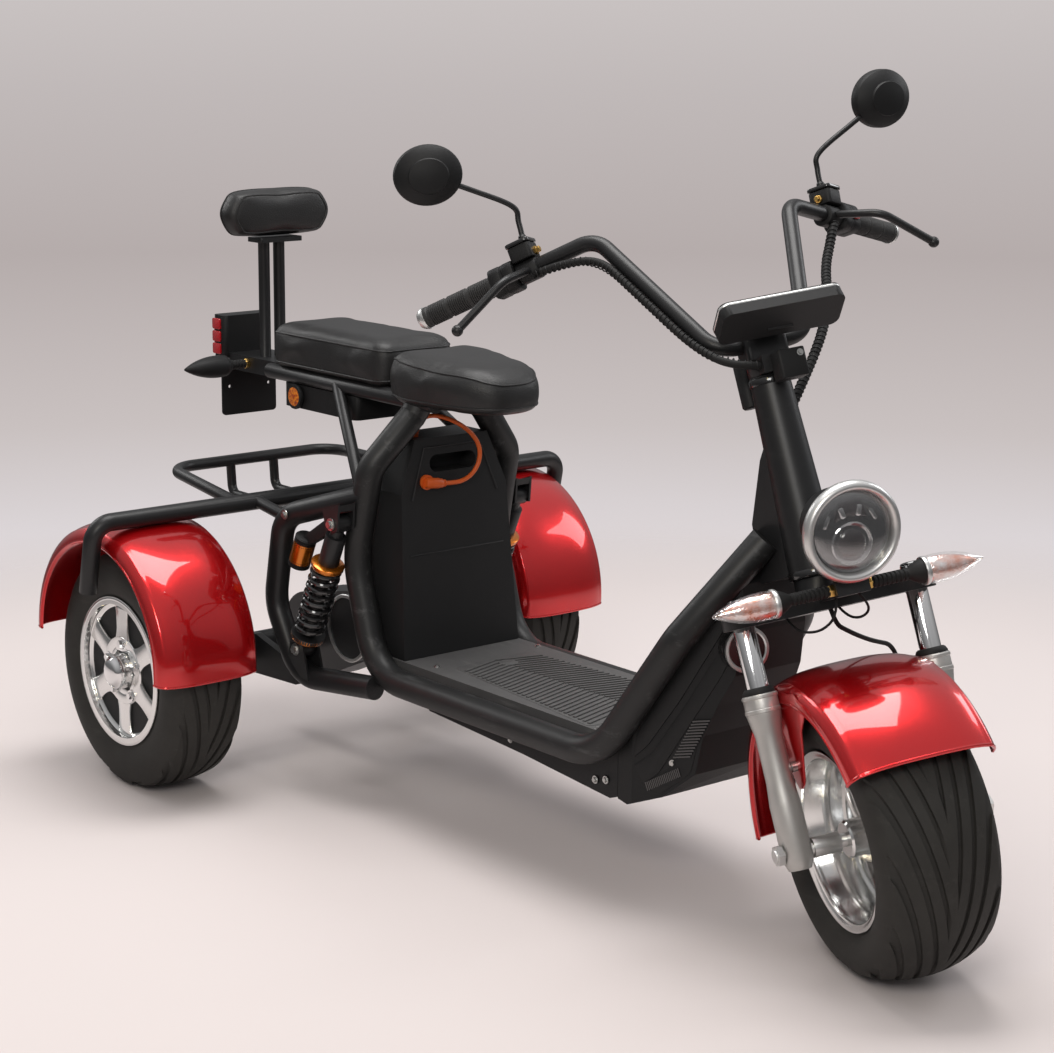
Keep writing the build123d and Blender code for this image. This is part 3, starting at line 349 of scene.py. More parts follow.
# Columns: record slot, main and second colour, roughness low and high, grain, its depth, what else differs
FINISHES = {
    "red_paint": ("red_paint", (0.64, 0.0044, 0.008), (0.46, 0.002, 0.0038), (0.22, 0.3), 2600, 0.03,
                  dict(metallic=0.72, coat=1.0, patch=4)),
    "black_paint": ("black_paint", (0.008, 0.008, 0.0085), (0.013, 0.013, 0.014), (0.34, 0.46), 1500, 0.06,
                    dict(shine=0.38, wear=0.12, worn=(0.07, 0.07, 0.07))),
    "floor_paint": ("black_paint", (0.008, 0.008, 0.0085), (0.016, 0.016, 0.016), (0.36, 0.52), 1200, 0.08,
                    dict(shine=0.36, wear=0.4, worn=(0.1, 0.1, 0.1))),
    "black_plastic": ("black_plastic", (0.0075, 0.0075, 0.008), (0.012, 0.012, 0.0125), (0.46, 0.6), 2200,
                      0.25, dict(shine=0.24)),
    "black_gloss": ("black_gloss", (0.008, 0.008, 0.009), (0.014, 0.013, 0.013), (0.1, 0.18), 800, 0.02,
                    dict(coat=0.6)),
    "black_rubber": ("tyre_rubber", (0.008, 0.008, 0.008), (0.014, 0.0135, 0.0135), (0.55, 0.72), 1800, 0.2,
                     dict(shine=0.25)),
    "tyre_rubber": ("tyre_rubber", (0.019, 0.018, 0.0165), (0.034, 0.032, 0.029), (0.58, 0.78), 1100, 0.25,
                    dict(shine=0.25, patch=22, wear=0.25, worn=(0.07, 0.066, 0.06))),
    # mat_rubber's colours are the rubber's own dark grey, raised partly as painted sheen of the light from
    # above glancing off the mat
    "mat_rubber": ("mat_rubber", (0.05, 0.049, 0.05), (0.085, 0.083, 0.082), (0.55, 0.74), 1400, 0.3,
                   dict(shine=0.45, patch=14, wear=0.35, worn=(0.19, 0.183, 0.178))),
    "vinyl": ("vinyl", (0.009, 0.009, 0.0095), (0.015, 0.0147, 0.0147), (0.38, 0.5), 520, 0.5,
              dict(shine=0.42, cells=True)),
    "polished_alloy": ("polished_alloy", (0.8, 0.8, 0.79), (0.72, 0.72, 0.71), (0.15, 0.23), 700, 0.012,
                       dict(metallic=1.0, patch=12)),
    "cast_alloy": ("cast_alloy", (0.5, 0.49, 0.47), (0.4, 0.39, 0.375), (0.38, 0.5), 1300, 0.18,
                   dict(metallic=0.75, patch=26)),
    "chrome": ("chrome", (0.8, 0.8, 0.8), (0.7, 0.7, 0.7), (0.05, 0.12), 600, 0.015, dict(metallic=1.0)),
    "satin_chrome": ("chrome", (0.7, 0.7, 0.69), (0.62, 0.62, 0.61), (0.34, 0.42), 1200, 0.05,
                     dict(metallic=1.0)),
    "steel": ("steel", (0.5, 0.5, 0.49), (0.36, 0.36, 0.35), (0.22, 0.36), 1500, 0.12,
              dict(metallic=1.0, patch=60)),
    "brass": ("gold_alloy", (0.7, 0.45, 0.14), (0.5, 0.3, 0.08), (0.22, 0.36), 1500, 0.08,
              dict(metallic=1.0)),
    "gold_alloy": ("gold_alloy", (0.66, 0.2, 0.012), (0.5, 0.13, 0.006), (0.2, 0.3), 1600, 0.04,
                   dict(metallic=0.85, coat=0.5)),
    "orange_cover": ("orange_cover", (0.62, 0.1, 0.008), (0.48, 0.068, 0.005), (0.42, 0.55), 2000, 0.12,
                     {}),
    "amber_lens": ("amber_lens", (0.75, 0.2, 0.008), (0.6, 0.13, 0.004), (0.1, 0.2), 260, 0.6,
                   dict(coat=1.0, cells=True)),
    "red_lens": ("red_lens", (0.5, 0.008, 0.014), (0.36, 0.003, 0.008), (0.1, 0.2), 240, 0.4,
                 dict(coat=1.0, cells=True)),
    "clear_lens": ("clear_lens", (0.95, 0.95, 0.95), (0.85, 0.86, 0.88), (0.02, 0.06), 320, 0.25,
                   dict(clear=1.0, cells=True)),
    "smoked_lens": ("black_gloss", (0.06, 0.055, 0.055), (0.04, 0.036, 0.036), (0.05, 0.12), 320, 0.2,
                    dict(coat=1.0, cells=True)),
    "lamp_glass": ("clear_lens", (0.9, 0.9, 0.9), (0.84, 0.84, 0.85), (0.02, 0.05), 90, 0.005,
                   dict(metallic=1.0, alpha=0.14)),
    "mirror_face": ("mirror_face", (0.85, 0.86, 0.87), (0.8, 0.81, 0.83), (0.01, 0.03), 200, 0.004,
                    dict(metallic=1.0)),
    "projector_glass": ("black_gloss", (0.02, 0.012, 0.013), (0.012, 0.008, 0.009), (0.03, 0.06), 60, 0.002,
                        dict(coat=1.0)),
    "signal_glass": ("clear_lens", (0.96, 0.96, 0.96), (0.9, 0.9, 0.91), (0.06, 0.12), 300, 0.5,
                     dict(metallic=1.0, alpha=0.34, cells=True)),
    "signal_silver": ("chrome", (0.84, 0.84, 0.85), (0.72, 0.2, 0.06), (0.16, 0.26), 170, 1.0,
                      dict(metallic=0.45, patch=38, sharp=0.14, cells=True)),
    "amber_fan": ("amber_lens", (0.8, 0.24, 0.008), (0.36, 0.05, 0.002), (0.08, 0.16), 190, 0.9,
                  dict(coat=1.0, patch=150, sharp=0.1, cells=True)),
    "grip_rubber": ("mat_rubber", (0.012, 0.012, 0.012), (0.024, 0.023, 0.023), (0.55, 0.7), 1600, 0.2,
                    {}),
}


def material(name):
    """The finish of that name, built from the shared groups when it is first asked for."""
    found = bpy.data.materials.get(name + "_finish")
    if found:
        return found
    base, second, rough, scale, depth, extra = FINISHES[name][1:]
    made = bpy.data.materials.new(name + "_finish")
    made.use_nodes = True
    tree = made.node_tree
    grain = add(tree, "ShaderNodeGroup", {"Grain": scale, "Patch": extra.get("patch", 9), "Depth": depth},
                node_tree=shared("surface grain", grain_group))
    drift = (grain, "Drift")
    if "sharp" in extra:
        drift = add(tree, "ShaderNodeMapRange", {"Value": drift, "From Min": 0.5 - extra["sharp"],
                                                 "From Max": 0.5 + extra["sharp"]})
    tone = add(tree, "ShaderNodeMix", {"Factor": drift, "A": (*base, 1), "B": (*second, 1)}, data_type="RGBA")
    if "wear" in extra:
        wear = add(tree, "ShaderNodeGroup", {"Amount": extra["wear"]},
                   node_tree=shared("rubbed wear", wear_group))
        tone = add(tree, "ShaderNodeMix", {"Factor": wear, "A": (tone, "Result"), "B": (*extra["worn"], 1)},
                   data_type="RGBA")
    sheen = add(tree, "ShaderNodeMapRange",
                {"Value": (grain, "Fine"), "To Min": rough[0], "To Max": rough[1]})
    normal = (grain, "Normal")
    if "cells" in extra:
        spot = (add(tree, "ShaderNodeTexCoord"), "Object")
        cells = add(tree, "ShaderNodeTexVoronoi", {"Vector": spot, "Scale": scale})
        normal = add(tree, "ShaderNodeBump", {"Strength": depth, "Distance": 0.0005, "Normal": normal,
                                              "Height": (cells, "Distance")})
    fill(tree, tree.nodes["Principled BSDF"], {
        "Base Color": (tone, "Result"), "Roughness": sheen, "Normal": normal,
        "Metallic": extra.get("metallic", 0.0), "Specular IOR Level": extra.get("shine", 0.5),
        "Coat Weight": extra.get("coat", 0.0), "Coat Roughness": 0.04,
        "Transmission Weight": extra.get("clear", 0.0), "Alpha": extra.get("alpha", 1.0)})
    return made


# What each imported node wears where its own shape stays: a finish, then its nodes
NODE_FINISH = {
    node: finish for finish, nodes in (
        ("black_paint", "neck rear_loop_right rear_loop_left rear_axle shock_dampers rear_hoop "
                       "rear_rack seat_frame tail_bracket fork_yoke bar_clamp handlebar brake_levers"),
        ("floor_paint", "frame_rail_right frame_rail_left"),
        ("black_gloss", "shock_springs horn front_caliper"),
        ("gold_alloy", "shock_reservoirs"),
        ("red_paint", "rear_fender_right rear_fender_left front_fender"),
        ("mat_rubber", "footboard"),
        ("black_plastic", "belly_box leg_shield battery seat_box tail_light plate_holder headlight_bowl "
                         "bar_controls mirrors display"),
        ("orange_cover", "battery_lead battery_plug"),
        ("amber_lens", "side_reflectors"),
        ("vinyl", "driver_seat pillion_seat backrest_pad"),
        ("red_lens", "tail_lens"),
        ("smoked_lens", "rear_signals"),
        ("chrome", "fork_stanchions"),
        ("cast_alloy", "fork_lowers"),
        ("satin_chrome", "front_axle headlight_bezel bar_ends"),
        ("lamp_glass", "headlight_lens"),
        ("black_rubber", "front_signals cable_looms"),
        ("clear_lens", "front_signal_lenses"),
        ("grip_rubber", "grips"),
        ("mirror_face", "mirror_glass"),
        ("tyre_rubber", "front_tyre rear_tyre_right rear_tyre_left"),
        ("polished_alloy", "front_rim rear_rim_right rear_rim_left"),
        ("steel", "front_brake_disc"),
    ) for node in nodes.split()
}


class StageSettings(bpy.types.PropertyGroup):
    """The studio's colours and levels."""
    floor: FloatVectorProperty(name="Floor", description="Colour of the studio floor", subtype="COLOR",
                               size=3, default=(0.66, 0.6, 0.588), min=0, max=1)
    key_power: FloatProperty(name="Overhead", description="Strength of the overhead lamp", default=95.0,
                             min=0, unit="POWER")
    front_power: FloatProperty(name="Front", description="Strength of the lamp by the camera", default=52.0,
                               min=0, unit="POWER")
    ambient: FloatProperty(name="Ambient", description="Strength of the light from all round", default=0.42,
                           min=0)


class TyreSettings(bpy.types.PropertyGroup):
    """The tread's sizes."""
    radius: FloatProperty(name="Radius", description="Tyre radius in millimetres", default=217.0, min=100)
    groove_depth: FloatProperty(name="Groove depth", description="Depth of the tread in millimetres",
                                default=5.0, min=0)
    grooves: IntProperty(name="Grooves", description="Grooves on each side of a tyre", default=11, min=4)


class SCOOTER_OT_stage(bpy.types.Operator):
    """Build the studio floor, world, lamps and camera"""
    bl_idname = "scooter.stage"
    bl_label = "Stage"

    def execute(self, context):
        settings = context.scene.scooter_stage
        context.scene.view_settings.view_transform = "Standard"
        self.build_world(context.scene, settings.ambient)
        self.build_floor(settings.floor)
        self.build_camera(context.scene)
        # Columns: name, place in vehicle millimetres, width, height, power, colour
        lamps = (("overhead", (500, 100, 3600), 2.2, 1.7, settings.key_power, (1.0, 0.985, 0.97)),
                 ("front", (3300, -2900, 2500), 1.3, 1.1, settings.front_power, (1.0, 0.98, 0.96)),
                 ("left", (1500, 3300, 2400), 1.4, 1.4, 0.5 * settings.front_power, (0.97, 0.98, 1.0)),
                 ("rear", (-2600, -900, 2300), 1.4, 1.2, 0.4 * settings.front_power, (1.0, 0.99, 0.98)),
                 ("strip", (2500, -3000, 2900), 0.1, 1.1, 0.16 * settings.front_power, (1.0, 0.8, 0.42)))
        aim = VEHICLE @ Vector((650, 0, 420))
        for name, spot, width, height, power, colour in lamps:
            light = bpy.data.lights.new(name, "AREA")
            light.shape = "RECTANGLE"
            light.size = width
            light.size_y = height
            light.energy = power
            light.color = colour
            lamp = linked(name, light)
            lamp.location = VEHICLE @ Vector(spot)
            lamp.rotation_euler = (aim - lamp.location).to_track_quat("-Z", "Y").to_euler()
        return {"FINISHED"}

    def build_world(self, scene, ambient):
        world = bpy.data.worlds.new("studio")
        scene.world = world
        world.use_nodes = True
        tree = world.node_tree
        place = add(tree, "ShaderNodeTexCoord")
        parts = add(tree, "ShaderNodeSeparateXYZ", {"Vector": (place, "Generated")})
        height = add(tree, "ShaderNodeMapRange", {"Value": (parts, "Z"), "From Min": -0.45, "From Max": 0.05})
        ramp = add(tree, "ShaderNodeValToRGB", {"Fac": height})
        # The backdrop's colours are painted light and shade: a brighter band where the lit floor runs back to
        # the wall, painted shade on the wall above it, and lighter again towards the top
        # Columns: place on the ramp from below to above, colour
        stops = ((0.0, (0.716, 0.651, 0.638)), (0.38, (0.708, 0.64, 0.63)), (0.475, (0.716, 0.672, 0.686)),
                 (0.56, (0.584, 0.533, 0.527)), (0.7, (0.462, 0.413, 0.407)), (0.83, (0.527, 0.485, 0.482)),
                 (0.93, (0.6, 0.56, 0.555)))
        while len(ramp.color_ramp.elements) < len(stops):
            ramp.color_ramp.elements.new(0.5)
        for element, (spot, colour) in zip(ramp.color_ramp.elements, stops):
            element.position = spot
            element.color = (*colour, 1)
        rays = add(tree, "ShaderNodeLightPath")
        shown = add(tree, "ShaderNodeMath", {0: (rays, "Is Camera Ray"), 1: (rays, "Is Transmission Ray")},
                    operation="MAXIMUM")
        dome = add(tree, "ShaderNodeMapRange", {"Value": (parts, "Z"), "From Min": -0.1, "From Max": 0.75,
                                                "To Min": 0.3 * ambient, "To Max": 1.5 * ambient})
        plain = add(tree, "ShaderNodeBackground", {"Color": (0.95, 0.94, 0.95, 1), "Strength": dome})
        view = tree.nodes["Background"]
        fill(tree, view, {"Color": ramp})
        choose = add(tree, "ShaderNodeMixShader", {"Fac": shown, 1: plain, 2: view})
        fill(tree, tree.nodes["World Output"], {"Surface": choose})

    def build_floor(self, colour):
        data = bpy.data.meshes.new("studio_floor")
        build = bmesh.new()
        bmesh.ops.create_circle(build, cap_ends=True, segments=96, radius=7.0)
        build.to_mesh(data)
        build.free()
        floor = linked("studio_floor", data)
        made = bpy.data.materials.new("studio_floor")
        made.use_nodes = True
        tree = made.node_tree
        spot = (add(tree, "ShaderNodeTexCoord"), "Object")
        tone = add(tree, "ShaderNodeTexNoise", {"Vector": spot, "Scale": 1.1})
        shade = add(tree, "ShaderNodeMix", {"Factor": tone, "A": (*colour, 1),
                                            "B": (*(0.95 * part for part in colour), 1)}, data_type="RGBA")
        reach = add(tree, "ShaderNodeVectorMath", {0: spot}, operation="LENGTH")
        fade = add(tree, "ShaderNodeMapRange", {"Value": (reach, "Value"), "From Min": 1.5, "From Max": 2.9,
                                                "To Min": 1.0, "To Max": 0.0},
                   interpolation_type="SMOOTHSTEP")
        fill(tree, tree.nodes["Principled BSDF"], {"Base Color": (shade, "Result"), "Roughness": 0.75,
                                                   "Specular IOR Level": 0.2, "Alpha": fade})
        data.materials.append(made)

    def build_camera(self, scene):
        yaw, pitch, roll = radians(141.945), radians(-12.786), radians(0.138)
        ahead = Vector((cos(pitch) * cos(yaw), cos(pitch) * sin(yaw), sin(pitch)))
        right = ahead.cross(Vector((0, 0, 1))).normalized()
        up = right.cross(ahead)
        right, up = right * cos(roll) + up * sin(roll), up * cos(roll) - right * sin(roll)
        lens = bpy.data.cameras.new("photo_camera")
        lens.sensor_width = 36.0
        lens.lens = 82.42
        lens.shift_x = 0.0613
        lens.shift_y = 0.0210
        lens.clip_end = 60.0
        camera = linked("photo_camera", lens)
        turn = Matrix((right, up, -ahead)).transposed().to_4x4()
        camera.matrix_world = Matrix.Translation(VEHICLE @ Vector((3676, -2553, 1394))) @ turn
        scene.camera = camera


class SCOOTER_OT_finishes(bpy.types.Operator):
    """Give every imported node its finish"""
    bl_idname = "scooter.finishes"
    bl_label = "Finishes"

    def execute(self, context):
        for name, node in frame["nodes"].items():
            node.data.materials.clear()
            node.data.materials.append(material(NODE_FINISH[name]))
            weld = node.modifiers.new("weld", "WELD")
            weld.merge_threshold = 0.00002
            ease = node.modifiers.new("ease", "BEVEL")
            ease.width = 0.0014
            ease.segments = 2
            ease.limit_method = "ANGLE"
            ease.angle_limit = radians(32)
            ease.harden_normals = True
        return {"FINISHED"}


REAR_AXLE_HEIGHT = 217
BEAD_RADIUS = 137.0


def tyre_shape(place, half, rim_half, crown, sweep, settings):
    """A tyre about the place's Y: rows across the section, columns that follow its curved grooves."""
    def tread_radius(y):
        return settings.radius - crown + sqrt(crown ** 2 - y ** 2)

    shoulder = half - 14
    edge = tread_radius(shoulder)
    wall = arc((rim_half - 4, BEAD_RADIUS), (half, (BEAD_RADIUS + edge) / 2), (shoulder, edge), 15)
    count = 34
    across = [shoulder * (1 - step / count) for step in range(1, count)]
    section = [(rim_half - 12, BEAD_RADIUS - 8)] + wall + [(y, tread_radius(y)) for y in across]
    section = section + [(0.0, settings.radius)] + [(-y, r) for y, r in section[::-1]]
    # Columns: place within one groove's repeat, how deep the left side is there, how deep the right side is
    repeat = ((0.0, 0, 0), (0.03, 1, 0), (0.13, 1, 0), (0.23, 1, 0), (0.32, 1, 0), (0.35, 0, 0), (0.43, 0, 0),
              (0.5, 0, 0), (0.53, 0, 1), (0.63, 0, 1), (0.73, 0, 1), (0.82, 0, 1), (0.85, 0, 0), (0.93, 0, 0))
    rows = []
    for y, r in section:
        shift = -sweep * max(1 - abs(y) / (shoulder + 4), 0.0) ** 1.25
        fade = 0.0
        if r > max(150, edge - 9) and abs(y) < half - 0.5:
            fade = min(1.0, max(0.0, (abs(y) - 5) / 4))
            fade *= min(1.0, (r - edge + 9) / 9) if abs(y) > shoulder - 1 else 1.0
        row = []
        for groove in range(settings.grooves):
            for spot, left, right in repeat:
                angle = 2 * pi * (groove + spot) / settings.grooves + shift
                depth = r - settings.groove_depth * fade * (left if y > 0 else right)
                row.append(place @ Vector((depth * cos(angle), y, depth * sin(angle))))
        rows.append(row)
    shape = Shape()
    shape.skin(rows, loop=True)
    return shape


class SCOOTER_OT_tyres(bpy.types.Operator):
    """Build the three tyres with their curved grooves"""
    bl_idname = "scooter.tyres"
    bl_label = "Tyres"

    def execute(self, context):
        # Columns: node, body, place, half width, rim's half width, crown's radius, groove's sweep in degrees
        tyres = [("front_tyre", "front_wheel", FORK, 93, 79, 170, 105)]
        for side, name in SIDES:
            place = VEHICLE @ Matrix.Translation((0, side * 393, REAR_AXLE_HEIGHT))
            tyres.append((f"rear_tyre_{name}", f"rear_wheel_{name}", place, 73, 69, 260, 80))
        for node, body, place, half, rim_half, crown, sweep in tyres:
            shape = tyre_shape(place, half, rim_half, crown, radians(sweep), context.scene.scooter_tyres)
            shape.piece(node + "_treaded", body, "tyre_rubber", [node], angle=28)
        return {"FINISHED"}


def fender_shape(place, radius, half, drop, power, start, sweep, bead):
    """A rounded fender about the place's Y, with two skins, its bead line and rolled edges."""
    count, steps, wall, inward = 44, 72, 3.2, 1.6
    outer = []
    for step in range(count + 1):
        turn = pi * step / count
        y = half * (1 if cos(turn) > 0 else -1) * abs(cos(turn)) ** (2 / power)
        fall = drop * (1 - abs(sin(turn)) ** (2 / power))
        swell = 2.4 * bead * (2.718 ** -((abs(y) - 0.9 * half) / 3.2) ** 2)
        outer.append((y, radius - fall + swell))
    inner = [(y * (half - wall) / half, r - wall) for y, r in outer[::-1]]
    angles = [radians(start + sweep * step / steps) for step in range(steps + 1)]

    def spot(y, r, angle):
        return Vector((r * cos(angle), y, r * sin(angle)))

    shape = Shape()
    shape.skin([[place @ spot(y, r, angle) for y, r in outer + inner] for angle in angles])
    trim = (half - inward) / half
    rolls = [[spot(y * trim, r + 1.5, angle) for angle in angles] for y, r in (outer[0], outer[-1])]
    rolls += [[spot(y * trim, r - inward, angle) for y, r in outer] for angle in (angles[0], angles[-1])]
    for roll in rolls:
        shape.tube(place, roll, 2.9, sides=8)
    return shape


class SCOOTER_OT_fenders(bpy.types.Operator):
    """Build the rounded, painted fenders"""
    bl_idname = "scooter.fenders"
    bl_label = "Fenders"

    def execute(self, context):
        front = fender_shape(FORK @ Matrix.Translation((-12, 0, 0)), 254, 113, 40, 2.7, 23.6, 152.4, 1.0)
        ear = [(-96, 205), (-60, 224), (60, 224), (92, 198), (56, 168), (38, 128), (24, 96), (12, 86),
               (-2, 86), (-10, 98), (-30, 140), (-62, 178)]
        for side, place in zip(WAYS, both(FORK, (0, 110, 0))):
            front.prism(place, flank(ear, side), -1.6, 1.6, 0.8)
        front.piece("front_fender_painted", "steering", "red_paint", ["front_fender"], angle=40)
        turned("fender_lugs", "steering", "steel", both(FORK, (5, 111, 120)),
               ((8, 0), (8, 8), (6, 10), (6, 13.4)), steps=24)
        for side, name in SIDES:
            place = VEHICLE @ Matrix.Translation((0, side * 404, 257))
            rear = fender_shape(place, 235, 102, 34, 2.9, -4, 182, 0.7)
            node = f"rear_fender_{name}"
            rear.piece(node + "_painted", "chassis", "red_paint", [node], angle=40)
        return {"FINISHED"}


# How the pads are stuffed: voxel size, pressure, furthest swell in metres and frames of the cloth's run
PAD_VOXEL, PAD_PRESSURE, PAD_SWELL, PAD_FRAMES = 0.005, 4.0, 0.0035, 20


def inflated(mesh, name):
    """The mesh remeshed and swelled like a stuffed cover, no point moved further than the pads' limit."""
    scene = bpy.context.scene
    source = linked(name, mesh)
    remesh = source.modifiers.new("voxels", "REMESH")
    remesh.mode = "VOXEL"
    remesh.voxel_size = PAD_VOXEL
    soft = final_mesh(source)
    bpy.data.objects.remove(source)
    cover = linked(name + "_cover", soft)
    before = [vertex.co.copy() for vertex in soft.vertices]
    cloth = cover.modifiers.new("cloth", "CLOTH")
    cloth.settings.use_pressure = True
    cloth.settings.uniform_pressure_force = PAD_PRESSURE
    cloth.settings.effector_weights.gravity = 0.0
    cloth.settings.quality = 5
    cloth.point_cache.frame_start = 1
    cloth.point_cache.frame_end = PAD_FRAMES
    for number in range(1, PAD_FRAMES + 1):
        scene.frame_set(number)
    swelled = final_mesh(cover)
    cover.modifiers.remove(cloth)
    for vertex, moved, start in zip(soft.vertices, swelled.vertices, before):
        step = moved.co - start
        vertex.co = start + step * min(1.0, PAD_SWELL / max(step.length, 1e-9))
    bpy.data.meshes.remove(swelled)
    scene.frame_set(1)
    ease = cover.modifiers.new("ease", "SMOOTH")
    ease.factor = 0.5
    ease.iterations = 14
    finer = cover.modifiers.new("finer", "SUBSURF")
    finer.levels = 1
    finer.render_levels = 1
    result = final_mesh(cover)
    bpy.data.objects.remove(cover)
    result.name = name
    for polygon in result.polygons:
        polygon.use_smooth = True
    return result


def stuffed(name, node, rows, seams, radius=1.7):
    """A padded cover in place of a node, with closed cords sewn where the seams' lines come nearest to it."""
    shape = Shape()
    shape.skin(rows)
    data = inflated(shape.mesh(name), name + "_stuffed")
    piece = dressed(data, name + "_stuffed", "chassis", "vinyl", [node])
    tree = BVHTree.FromPolygons([vertex.co for vertex in data.vertices],
                                [face.vertices for face in data.polygons])
    inverse = VEHICLE.inverted()
    piping = Shape()
    for line in seams:
        path = []
        for spot in line:
            place, normal = tree.find_nearest(spot)[:2]
            path.append(inverse @ (place + normal * 0.0003))
        piping.tube(VEHICLE, path, radius, sides=8, closed=True)
    piping.piece(name + "_piping", "chassis", "vinyl")


class SCOOTER_OT_seats(bpy.types.Operator):
    """Build the saddle, the pillion seat and the backrest pad, stuffed and seamed"""
    bl_idname = "scooter.seats"
    bl_label = "Seats"

    def execute(self, context):
        self.saddle()
        self.pillion()
        self.backrest()
        return {"FINISHED"}

    def outline_rows(self, outline, levels):
        """Rows of one outline at several heights: each has its inset, its nose's fall and its tilt."""
        middle = Vector((sum(p[0] for p in outline) / len(outline), 0))
        rows = []
        for height, inset, nose, tilt in levels:
            row = []
            for x, y in outline:
                away = Vector((x, y)) - middle
                grown = middle + away * (1 - inset / away.length)
                fall = nose * max(0.0, (grown.x - 500) / 76) ** 2 + tilt * (grown.x - middle.x) / 135
                row.append(VEHICLE @ Vector((grown.x, grown.y, height - fall)))
            rows.append(row)
        return rows

    def saddle(self):
        spots = [(306, -70), (330, -92), (370, -104), (440, -103), (500, -90), (545, -68), (570, -40)]
        spots += [(576, 0)] + [(x, -y) for x, y in spots[::-1]]
        outline = [(p.x, p.y) for p in smooth_path([(x, y, 0) for x, y in spots], 6, closed=True)]
        levels = ((714, 12, 0, 0), (719, 4, 1, 0), (742, 2, 6, 1), (768, 4, 12, 4), (784, 10, 15, 7),
                  (791, 24, 15, 8), (793, 48, 12, 8), (794, 70, 8, 8))
        seams = self.outline_rows(outline, ((785, 6, 14, 7), (723, 0.5, 1, 0)))
        stuffed("saddle", "driver_seat", self.outline_rows(outline, levels), seams)

    def pillion(self):
        outline = [(114 + x, y) for x, y in rounded(364, 174, 30, 8)]
        levels = ((731, 8, 0, 0), (736, 3, 0, 0), (760, 1, 0, 0), (790, 2, 0, 0), (803, 8, 0, 0),
                  (809, 22, 0, 0), (811, 50, 0, 0))
        seams = self.outline_rows(outline, ((797, 0, 0, 0), (739, 0, 0, 0)))
        stuffed("pillion", "pillion_seat", self.outline_rows(outline, levels), seams)

    def backrest(self):
        middle = 1004
        spots = [(118, 1004), (104, 1034), (86, 1045), (0, 1048), (-86, 1045), (-104, 1034), (-118, 1004),
                 (-104, 974), (-86, 963), (0, 960), (86, 963), (104, 974)]
        ring = [spot - Vector((0, 0, middle))
                for spot in smooth_path([(0, y, z) for y, z in spots], 6, closed=True)]
        # Columns: distance along the pad's thickness, inset of the outline there
        levels = ((-192, 20), (-189, 9), (-180, 3), (-165, 1), (-150, 3), (-141, 9), (-137, 22))
        rows = []
        for x, inset in levels:
            rows.append([VEHICLE @ (Vector((x, 0, middle)) + p * (1 - inset / p.length)) for p in ring])
        seams = []
        # Columns: distance along the pad's thickness, share of the outline's size
        for x, share in ((-174, 1.0), (-140, 0.86)):
            seams.append([VEHICLE @ Vector((x, p.y * share, middle + p.z * share)) for p in ring])
        stuffed("backrest", "backrest_pad", rows, seams, 1.6)


SHOCK_TOP = Vector((322, 0, 510))
SHOCK_FOOT = Vector((208, 0, 262))
SHOCK_Y = 198


class SCOOTER_OT_shocks(bpy.types.Operator):
    """Build the wound springs, collars and reservoirs of the rear shocks"""
    bl_idname = "scooter.shocks"
    bl_label = "Shocks"

    def execute(self, context):
        line = SHOCK_TOP - SHOCK_FOOT
        feet = both(VEHICLE, (SHOCK_FOOT.x, SHOCK_Y, SHOCK_FOOT.z), line, (0, 1, 0))
        start, end, turns, steps = 38.0, line.length - 96.0, 9, 198
        wire = []
        for step in range(steps + 1):
            share = step / steps
            angle = 2 * pi * turns * share
            rise = start + (end - start) * (share + 0.012 * sin(2 * pi * share))
            wire.append((24 * cos(angle), 24 * sin(angle), rise))
        coils = Shape()
        for foot in feet:
            coils.tube(foot, wire, 4.6, sides=9)
        coils.piece("shock_coils", "chassis", "black_gloss", ["shock_springs"])
        top = line.length - 94
        turned("shock_collars", "chassis", "gold_alloy", feet,
               ((13, 24), (30, 24), (31, 26), (31, 32), (29, 34), (13, 34)),
               ((13, top), (29, top), (30, top + 2), (30, top + 8), (26, top + 10), (13, top + 10)), steps=40)
        tanks = both(VEHICLE, (194, SHOCK_Y, 412), line, (0, 1, 0))
        turned("shock_tanks", "chassis", "gold_alloy", tanks, ((18, 8), (20, 10), (20, 52), (18, 54)),
               steps=40, replaces=["shock_reservoirs"])
        caps = Shape()
        for side, tank, arm in zip(WAYS, tanks, both(VEHICLE, (0, SHOCK_Y, 0))):
            caps.prism(arm, flank(((204, 440), (212, 466), (308, 524), (324, 500)), side), -7, 7, 2)
            for low in (0, 46):
                ribs = [(14, low)]
                for rib in range(low, low + 16, 4):
                    ribs += [(20, rib + 1), (20, rib + 3), (18.4, rib + 3.5), (18.4, rib + 4.5)]
                caps.turn(tank, ribs + [(14, low + 18)], 36)
        caps.piece("shock_tank_caps", "chassis", "black_plastic")
        return {"FINISHED"}


RAKE = radians(21.4)
SIGNAL_NUT = ((9.6, 0), (9.6, 6), (8.4, 8))


def ribbed(start, end, high, low, pitch=7.0):
    """A ribbed sleeve's profile between two heights."""
    profile = []
    height = start
    while height + pitch <= end + 0.01:
        profile += [(low, height), (high, height + 0.25 * pitch), (high, height + 0.65 * pitch),
                    (low, height + 0.9 * pitch)]
        height += pitch
    return profile + [(low, end)]


def teardrop(length, wide, tip, count=16):
    """A lens's outline as radius and height, from its foot to its tip."""
    return [(r, h) for h, r in arc((0, wide), (0.62 * length, 0.82 * wide), (length, tip), count)]


